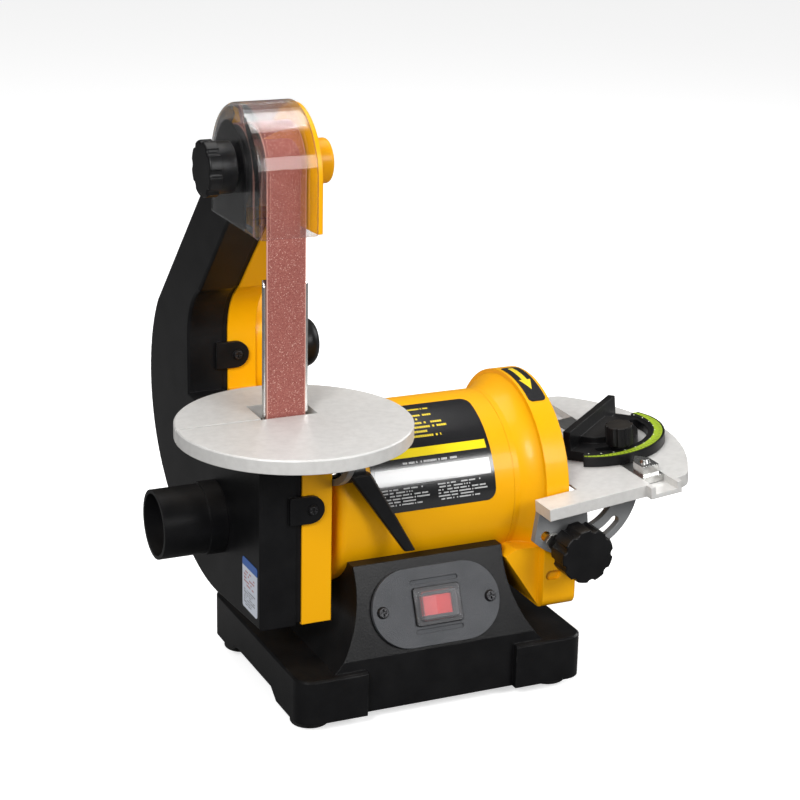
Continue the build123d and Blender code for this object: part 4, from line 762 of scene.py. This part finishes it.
def make_arc_marks() -> bpy.types.NodeTree:
    """Geometry: short bars set round an arc about the Z axis, longer at every fifth.

    Returns:
        The tree, with Radius, Start, Sweep, Count, Length, Width, Thickness, Fifth and Material inputs.
    """
    n, g = SocketType.NUMBER, SocketType.GEOMETRY
    graph, given, result = new_group(
        "arc_marks", "GeometryNodeTree",
        {"Geometry": g, "Radius": n, "Start": n, "Sweep": n, "Count": SocketType.COUNT, "Length": n,
         "Width": n, "Thickness": n, "Fifth": n, "Material": SocketType.MATERIAL}, {"Geometry": g})
    wanted = given.outputs
    index = graph.add("GeometryNodeInputIndex").outputs[0]
    share = graph.math("DIVIDE", index, graph.math("SUBTRACT", wanted["Count"], 1.0))
    angle = graph.math("MULTIPLY_ADD", share, wanted["Sweep"], wanted["Start"])
    spot = graph.vector(graph.math("MULTIPLY", wanted["Radius"], graph.math("COSINE", angle)),
                        graph.math("MULTIPLY", wanted["Radius"], graph.math("SINE", angle)))
    points = graph.add("GeometryNodePoints", None, {"Count": wanted["Count"], "Position": spot})
    size = graph.vector(wanted["Length"], wanted["Width"], wanted["Thickness"])
    bar = graph.add("GeometryNodeMeshCube", None, {"Size": size})
    every = graph.math("LESS_THAN", graph.math("MODULO", index, 5.0), 0.5)
    longer = graph.math("MULTIPLY_ADD", every, wanted["Fifth"], 1.0)
    marks = graph.add("GeometryNodeInstanceOnPoints", None, {
        "Points": points.outputs[0], "Instance": bar.outputs[0], "Scale": graph.vector(longer, 1.0, 1.0),
        "Rotation": graph.vector(0.0, 0.0, angle)})
    finish_tree(graph, marks.outputs[0], given, result)
    return graph.tree


def make_belt_sweep() -> bpy.types.NodeTree:
    """Geometry: a flat belt swept along the source's closed line.

    Returns:
        The tree, with Width, Thickness and Material inputs.
    """
    n, g = SocketType.NUMBER, SocketType.GEOMETRY
    graph, given, result = new_group(
        "belt_sweep", "GeometryNodeTree",
        {"Geometry": g, "Width": n, "Thickness": n, "Material": SocketType.MATERIAL}, {"Geometry": g})
    path = graph.add("GeometryNodeMeshToCurve", None, {"Mesh": given.outputs[0]})
    level = graph.add("GeometryNodeSetCurveNormal", {"mode": "FREE"},
                      {"Curve": path.outputs[0], "Normal": (1.0, 0.0, 0.0)})
    section = graph.add("GeometryNodeCurvePrimitiveQuadrilateral", None,
                        {"Width": given.outputs["Width"], "Height": given.outputs["Thickness"]})
    strip = graph.add("GeometryNodeCurveToMesh", None,
                      {"Curve": level.outputs[0], "Profile Curve": section.outputs[0]})
    finish_tree(graph, strip.outputs[0], given, result)
    return graph.tree


ARC_MARKS = make_arc_marks()
BELT_SWEEP = make_belt_sweep()


# ------------------------------------------------------------------------------ sub-assemblies
@dataclass
class SubAssembly:
    """Part of the machine: its pieces are dressed, and some are made anew."""

    finishes: dict[str, Finish] = field(default_factory=dict)

    def build(self) -> None:
        """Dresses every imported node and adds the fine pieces."""
        for node, finish in self.finishes.items():
            self.dress(frame["nodes"][node], finish)
        self.add_details()

    def add_details(self) -> None:
        """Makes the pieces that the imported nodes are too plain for."""

    @staticmethod
    def dress(obj: bpy.types.Object, finish: Finish) -> None:
        """Gives an object one finish all over."""
        if not obj.material_slots:
            obj.data.materials.append(None)
        for slot in obj.material_slots:
            slot.material = finish.material()
        log.info("%s: %s", obj.name, finish.name)

    def stand_for(self, piece: bpy.types.Object, node: str) -> None:
        """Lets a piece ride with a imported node's body and stand in its place."""
        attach(piece, BODY_OF[node])
        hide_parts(node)
        log.info("%s stands for %s", piece.name, node)


@dataclass
class Base(SubAssembly):
    """Pedestal base on rubber feet, with what is bolted inside it."""

    finishes: dict[str, Finish] = field(default_factory=lambda: {
        "base": BLACK_ENAMEL, "bottom_plate": BLACK_ENAMEL, "feet": RUBBER, "base_screws": ZINC,
        "cord_gland": KNOB_PLASTIC, "capacitor": FAN_PLASTIC})


@dataclass
class SwitchPanel(SubAssembly):
    """Switch plate on the sloped front, with its lit rocker under a clear boot."""

    finishes: dict[str, Finish] = field(default_factory=lambda: {
        "switch_plate": PANEL_PLASTIC, "plate_screws": BLACK_OXIDE, "switch_body": KNOB_PLASTIC,
        "switch_boot": CLEAR_BOOT,
        "rocker": LitPlastic("lit_rocker", (0.55, 0.010, 0.008), tuple(middle_of("rocker")))})


@dataclass
class Motor(SubAssembly):
    """Motor casing with its core, windings, rotor and label."""

    finishes: dict[str, Finish] = field(default_factory=lambda: {
        "motor_housing": YELLOW_PAINT, "motor_bearings": SHAFT_STEEL, "stator": CORE_STEEL, "windings": COPPER,
        "motor_shaft": SHAFT_STEEL, "rotor": CORE_STEEL, "cooling_fan": FAN_PLASTIC, "motor_label": motor_film()})


@dataclass
class DiscHead(SubAssembly):
    """Disc housing, disc and the studs that carry the disc table."""

    finishes: dict[str, Finish] = field(default_factory=lambda: {
        "disc_housing": YELLOW_PAINT, "disc_plate": DISC_ALUMINIUM, "sanding_disc": DISC_GRIT,
        "trunnion_studs": ZINC, "arrow_label": ArrowFilm("arrow_film", middle_of("arrow_label").x)})


@dataclass
class DiscTable(SubAssembly):
    """Half-round table with its trunnions and clamp knob."""

    finishes: dict[str, Finish] = field(default_factory=lambda: {
        "disc_table": CAST_TABLE, "table_trunnions": BRACKET_PAINT, "table_screws": ZINC,
        "tilt_knob": KNOB_PLASTIC})


@dataclass
class MiterGauge(SubAssembly):
    """Miter gauge: bar, head with fence and scale, clamp knob and pointer."""

    finishes: dict[str, Finish] = field(default_factory=lambda: {
        "miter_bar": STEEL, "miter_pointer": STEEL, "miter_head": BLACK_ENAMEL,
        "miter_scale": ScaleFilm("scale_film", (0.1462, -0.0020, 0.1418), 0.0448), "miter_knob": KNOB_PLASTIC})
    tilt: float = radians(6.0)
    swung: float = radians(36.0)
    pivot: Point = (0.1502, -0.006, 0.1420)
    face: float = 0.00725
    marks: tuple[tuple[str, float, float, float, int, float], ...] = (
        ("scale_ticks", 0.0430, 0.0022, 0.00040, 41, 0.4), ("scale_dots", 0.0392, 0.0009, 0.0009, 13, 0.0))
    arc: tuple[float, float] = (-164.0, -16.0)

    def add_details(self) -> None:
        """Sets the ticks and the row of pale dots on the scale."""
        up = Vector((-sin(self.tilt), 0.0, cos(self.tilt)))
        along = Vector((cos(self.tilt), 0.0, sin(self.tilt)))
        place = frame_matrix(Vector(self.pivot) + up * self.face,
                             along * cos(self.swung) + Vector((0.0, sin(self.swung), 0.0)), up)
        for name, radius, length, width, count, fifth in self.marks:
            finish = SCALE_INK if name == "scale_ticks" else SCALE_WHITE
            piece = run_tree(name, ARC_MARKS, {
                "Radius": radius, "Start": radians(self.arc[0]), "Sweep": radians(self.arc[1] - self.arc[0]),
                "Count": count, "Length": length, "Width": width, "Thickness": 0.0002, "Fifth": fifth,
                "Material": finish.material()}, place)
            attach(piece, BODY_OF["miter_scale"])


@dataclass
class BeltArm(SubAssembly):
    """Belt frame and cover, with the guard, the knobs and the labels on them."""

    finishes: dict[str, Finish] = field(default_factory=lambda: {
        "belt_frame": YELLOW_PAINT, "belt_cover": COVER_PLASTIC, "dust_port": COVER_PLASTIC,
        "cover_screws": BLACK_OXIDE, "cover_label": care_film(), "neck_bolts": ZINC, "tracking_housing": YELLOW_PAINT,
        "tracking_knob": KNOB_PLASTIC, "axle_boss": YELLOW_PAINT, "top_guard": SMOKY_CLEAR,
        "guard_knob": KNOB_PLASTIC})


@dataclass
class BeltDrive(SubAssembly):
    """Belt, wheels, axles, platen and the sprung arm that keeps the belt tight."""

    finishes: dict[str, Finish] = field(default_factory=lambda: {
        "sanding_belt": belt_grit(), "drive_wheel": WHEEL_PLASTIC, "drive_nut": ZINC, "top_wheel": WHEEL_PLASTIC,
        "rear_wheel": WHEEL_PLASTIC, "top_axle": SHAFT_STEEL, "rear_axle": SHAFT_STEEL, "tension_arm": STEEL,
        "arm_pin": STEEL, "tension_spring": STEEL, "platen": STEEL})
    wheels: tuple[tuple[float, float, float], ...] = ((0.0, 0.130, 0.045), (0.106, 0.1881, 0.025),
                                                      (-0.020, 0.356, 0.025))
    play: float = 0.0003
    half: float = 0.0005
    thickness: float = 0.00096
    trim: float = 0.00003
    arc_step: float = radians(3.0)

    def add_details(self) -> None:
        """Sweeps the belt round its wheels, so that its face is smooth."""
        low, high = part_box("sanding_belt")
        line = flat_mesh("belt_line", self.fill_path)
        place = Matrix.Translation(((low.x + high.x) / 2, 0.0, 0.0))
        belt = run_tree("grit_belt", BELT_SWEEP, {
            "Width": high.x - low.x - 2 * self.trim, "Thickness": self.thickness,
            "Material": self.finishes["sanding_belt"].material()}, place, line)
        shade_smooth(belt, 40.0)
        self.stand_for(belt, "sanding_belt")

    def fill_path(self, work: bmesh.types.BMesh) -> None:
        """Adds the closed line that the belt's middle follows, in the plane X = 0."""
        points = [work.verts.new((0.0, y, z)) for y, z in self.path()]
        for start, end in zip(points, points[1:] + points[:1]):
            work.edges.new((start, end))

    def path(self) -> list[tuple[float, float]]:
        """Returns the points of the belt's line: straight runs between arcs on the wheels."""
        radii = [r + self.play + self.half for _, _, r in self.wheels]
        turns = []
        for i, (y, z, _) in enumerate(self.wheels):
            j = (i + 1) % len(self.wheels)
            across, up = self.wheels[j][0] - y, self.wheels[j][1] - z
            turns.append(atan2(up, across) + asin((radii[i] - radii[j]) / hypot(across, up)))
        points = []
        for i, (y, z, _) in enumerate(self.wheels):
            start, sweep = turns[i - 1], (turns[i] - turns[i - 1]) % (2 * pi)
            count = max(2, round(sweep / self.arc_step))
            for k in range(count + 1):
                angle = start + sweep * k / count
                points.append((y + radii[i] * sin(angle), z - radii[i] * cos(angle)))
        return points


@dataclass
class BeltTable(SubAssembly):
    """Round table with its trunnion and clamp lever."""

    finishes: dict[str, Finish] = field(default_factory=lambda: {
        "belt_table": CAST_TABLE, "belt_trunnion": BRACKET_PAINT, "belt_table_screws": ZINC,
        "clamp_stud": ZINC, "clamp_lever": KNOB_PLASTIC})


def middle_of(node: str) -> Vector:
    """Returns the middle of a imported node's box."""
    low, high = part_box(node)
    return (low + high) / 2


def belt_grit() -> Abrasive:
    """Returns the belt's finish, with its pale edges where the belt's box ends."""
    low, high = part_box("sanding_belt")
    return Abrasive("belt_grit", edge_at=(low.x, high.x))


def care_film() -> CareFilm:
    """Returns the cover label's finish, laid out in its box."""
    low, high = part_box("cover_label")
    return CareFilm("care_film", (low.y, low.z), (high.y, high.z))


def motor_film() -> MotorFilm:
    """Returns the motor label's finish, laid out in its box."""
    low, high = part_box("motor_label")
    yellow, pale = (0.80, 0.60, 0.03), (0.55, 0.55, 0.55)
    blocks = (PrintBlock(73.0, 76.5, 0.30, 0.72, 1, 40, yellow),
              PrintBlock(49.0, 70.0, 0.12, 0.74, 6, 34, yellow),
              PrintBlock(32.0, 34.8, 0.24, 0.80, 1, 46, pale),
              PrintBlock(6.5, 18.5, 0.05, 0.47, 6, 40, pale),
              PrintBlock(6.5, 18.5, 0.52, 0.95, 6, 40, pale))
    # The third span is the painted reflection band, in degrees up from the front.
    return MotorFilm("motor_film", (low.x, high.x), (37.0, 43.0), (20.0, 30.5), blocks)


# ---------------------------------------------------------------------------------------- studio
@dataclass
class Studio:
    """Pale floor, soft lights and the camera.

    The floor and the surroundings are bright to the camera and dim in reflections.
    """

    eye: Point = (-0.5470, -1.1973, 0.6165)
    yaw: float = 24.632
    pitch: float = 18.029
    roll: float = 1.160
    lens: float = 94.66
    sensor: float = 36.0
    aim: Point = (0.0, 0.0, 0.16)
    floor_half: float = 14.0
    floor_seen: Colour = (0.80, 0.80, 0.80)
    floor_mirrored: Colour = (0.20, 0.20, 0.20)
    floor_glow: float = 0.60
    sky: Colour = (1.0, 1.0, 1.0)
    sky_seen: float = 0.88
    sky_fill: float = 0.26
    sky_base: float = 0.08
    lamps: tuple[tuple[str, Point, float, float, str], ...] = (
        ("left_box", (-1.00, -1.05, 1.05), 0.55, 19.0, "DISK"),
        ("right_box", (0.62, -1.45, 0.95), 0.60, 14.5, "SQUARE"),
        ("top_box", (0.0, 0.35, 1.7), 1.3, 17.0, "SQUARE"), ("side_box", (1.7, 0.2, 0.8), 0.9, 10.0, "SQUARE"))

    def build(self) -> None:
        """Makes the floor, the lights and the camera."""
        self.add_floor()
        for lamp in self.lamps:
            self.add_lamp(*lamp)
        self.light_world()
        self.add_camera()

    def add_floor(self) -> None:
        """Makes the floor, which isn't part of the machine."""
        def fill(work: bmesh.types.BMesh) -> None:
            """Adds one square face."""
            half = self.floor_half
            corners = ((-half, -half, 0), (half, -half, 0), (half, half, 0), (-half, half, 0))
            work.faces.new([work.verts.new(corner) for corner in corners])

        floor = flat_mesh("studio_floor", fill)
        material = bpy.data.materials.new("studio_paper")
        material.use_nodes = True
        material.node_tree.nodes.clear()
        graph = Graph(material.node_tree)
        seen = graph.add("ShaderNodeLightPath").outputs["Is Camera Ray"]
        surface = graph.surface({
            "Base Color": graph.mix(seen, self.floor_mirrored, self.floor_seen), "Emission Color": self.sky,
            "Emission Strength": graph.math("MULTIPLY", seen, self.floor_glow), "Roughness": 0.9,
            "Specular IOR Level": 0.15})
        graph.feed(surface.outputs[0], graph.add("ShaderNodeOutputMaterial").inputs["Surface"])
        floor.data.materials.append(material)

    def add_lamp(self, name: str, place: Point, size: float, power: float, shape: str) -> None:
        """Adds a soft lamp that points at the machine."""
        data = bpy.data.lights.new(name, "AREA")
        data.shape = shape
        data.size = size
        data.energy = power
        lamp = link(bpy.data.objects.new(name, data))
        lamp.location = place
        lamp.rotation_euler = (Vector(self.aim) - Vector(place)).to_track_quat("-Z", "Y").to_euler()

    def light_world(self) -> None:
        """Surrounds the machine with even pale light."""
        world = bpy.data.worlds.new("studio_world")
        world.use_nodes = True
        world.node_tree.nodes.clear()
        graph = Graph(world.node_tree)
        ray = graph.add("ShaderNodeLightPath").outputs
        fill = graph.math("MULTIPLY_ADD", ray["Is Diffuse Ray"], self.sky_fill, self.sky_base)
        seen = graph.math("MULTIPLY_ADD", ray["Is Camera Ray"], self.sky_seen, fill)
        sky = graph.add("ShaderNodeBackground", None, {"Color": self.sky, "Strength": seen})
        graph.feed(sky.outputs[0], graph.add("ShaderNodeOutputWorld").inputs["Surface"])
        bpy.context.scene.world = world
        bpy.context.scene.view_settings.view_transform = "Standard"

    def add_camera(self) -> None:
        """Makes the camera at the viewing angle."""
        yaw, pitch, roll = radians(self.yaw), radians(self.pitch), radians(self.roll)
        forward = Vector((sin(yaw) * cos(pitch), cos(yaw) * cos(pitch), -sin(pitch)))
        right = Vector((cos(yaw), -sin(yaw), 0.0))
        up = right.cross(forward)
        x_axis = right * cos(roll) + up * sin(roll)
        y_axis = up * cos(roll) - right * sin(roll)
        data = bpy.data.cameras.new("camera")
        data.lens = self.lens
        data.sensor_width = self.sensor
        camera = link(bpy.data.objects.new("camera", data))
        turn = Matrix((x_axis, y_axis, -forward)).transposed().to_4x4()
        camera.matrix_world = Matrix.Translation(self.eye) @ turn
        bpy.context.scene.camera = camera


def main() -> None:
    """Builds the machine's looks and the studio."""
    logging.basicConfig(level=logging.INFO, format="%(message)s")
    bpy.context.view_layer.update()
    for kind in (Base, SwitchPanel, Motor, DiscHead, DiscTable, MiterGauge, BeltArm, BeltDrive, BeltTable):
        kind().build()
    Studio().build()


if __name__ == "__main__":
    main()
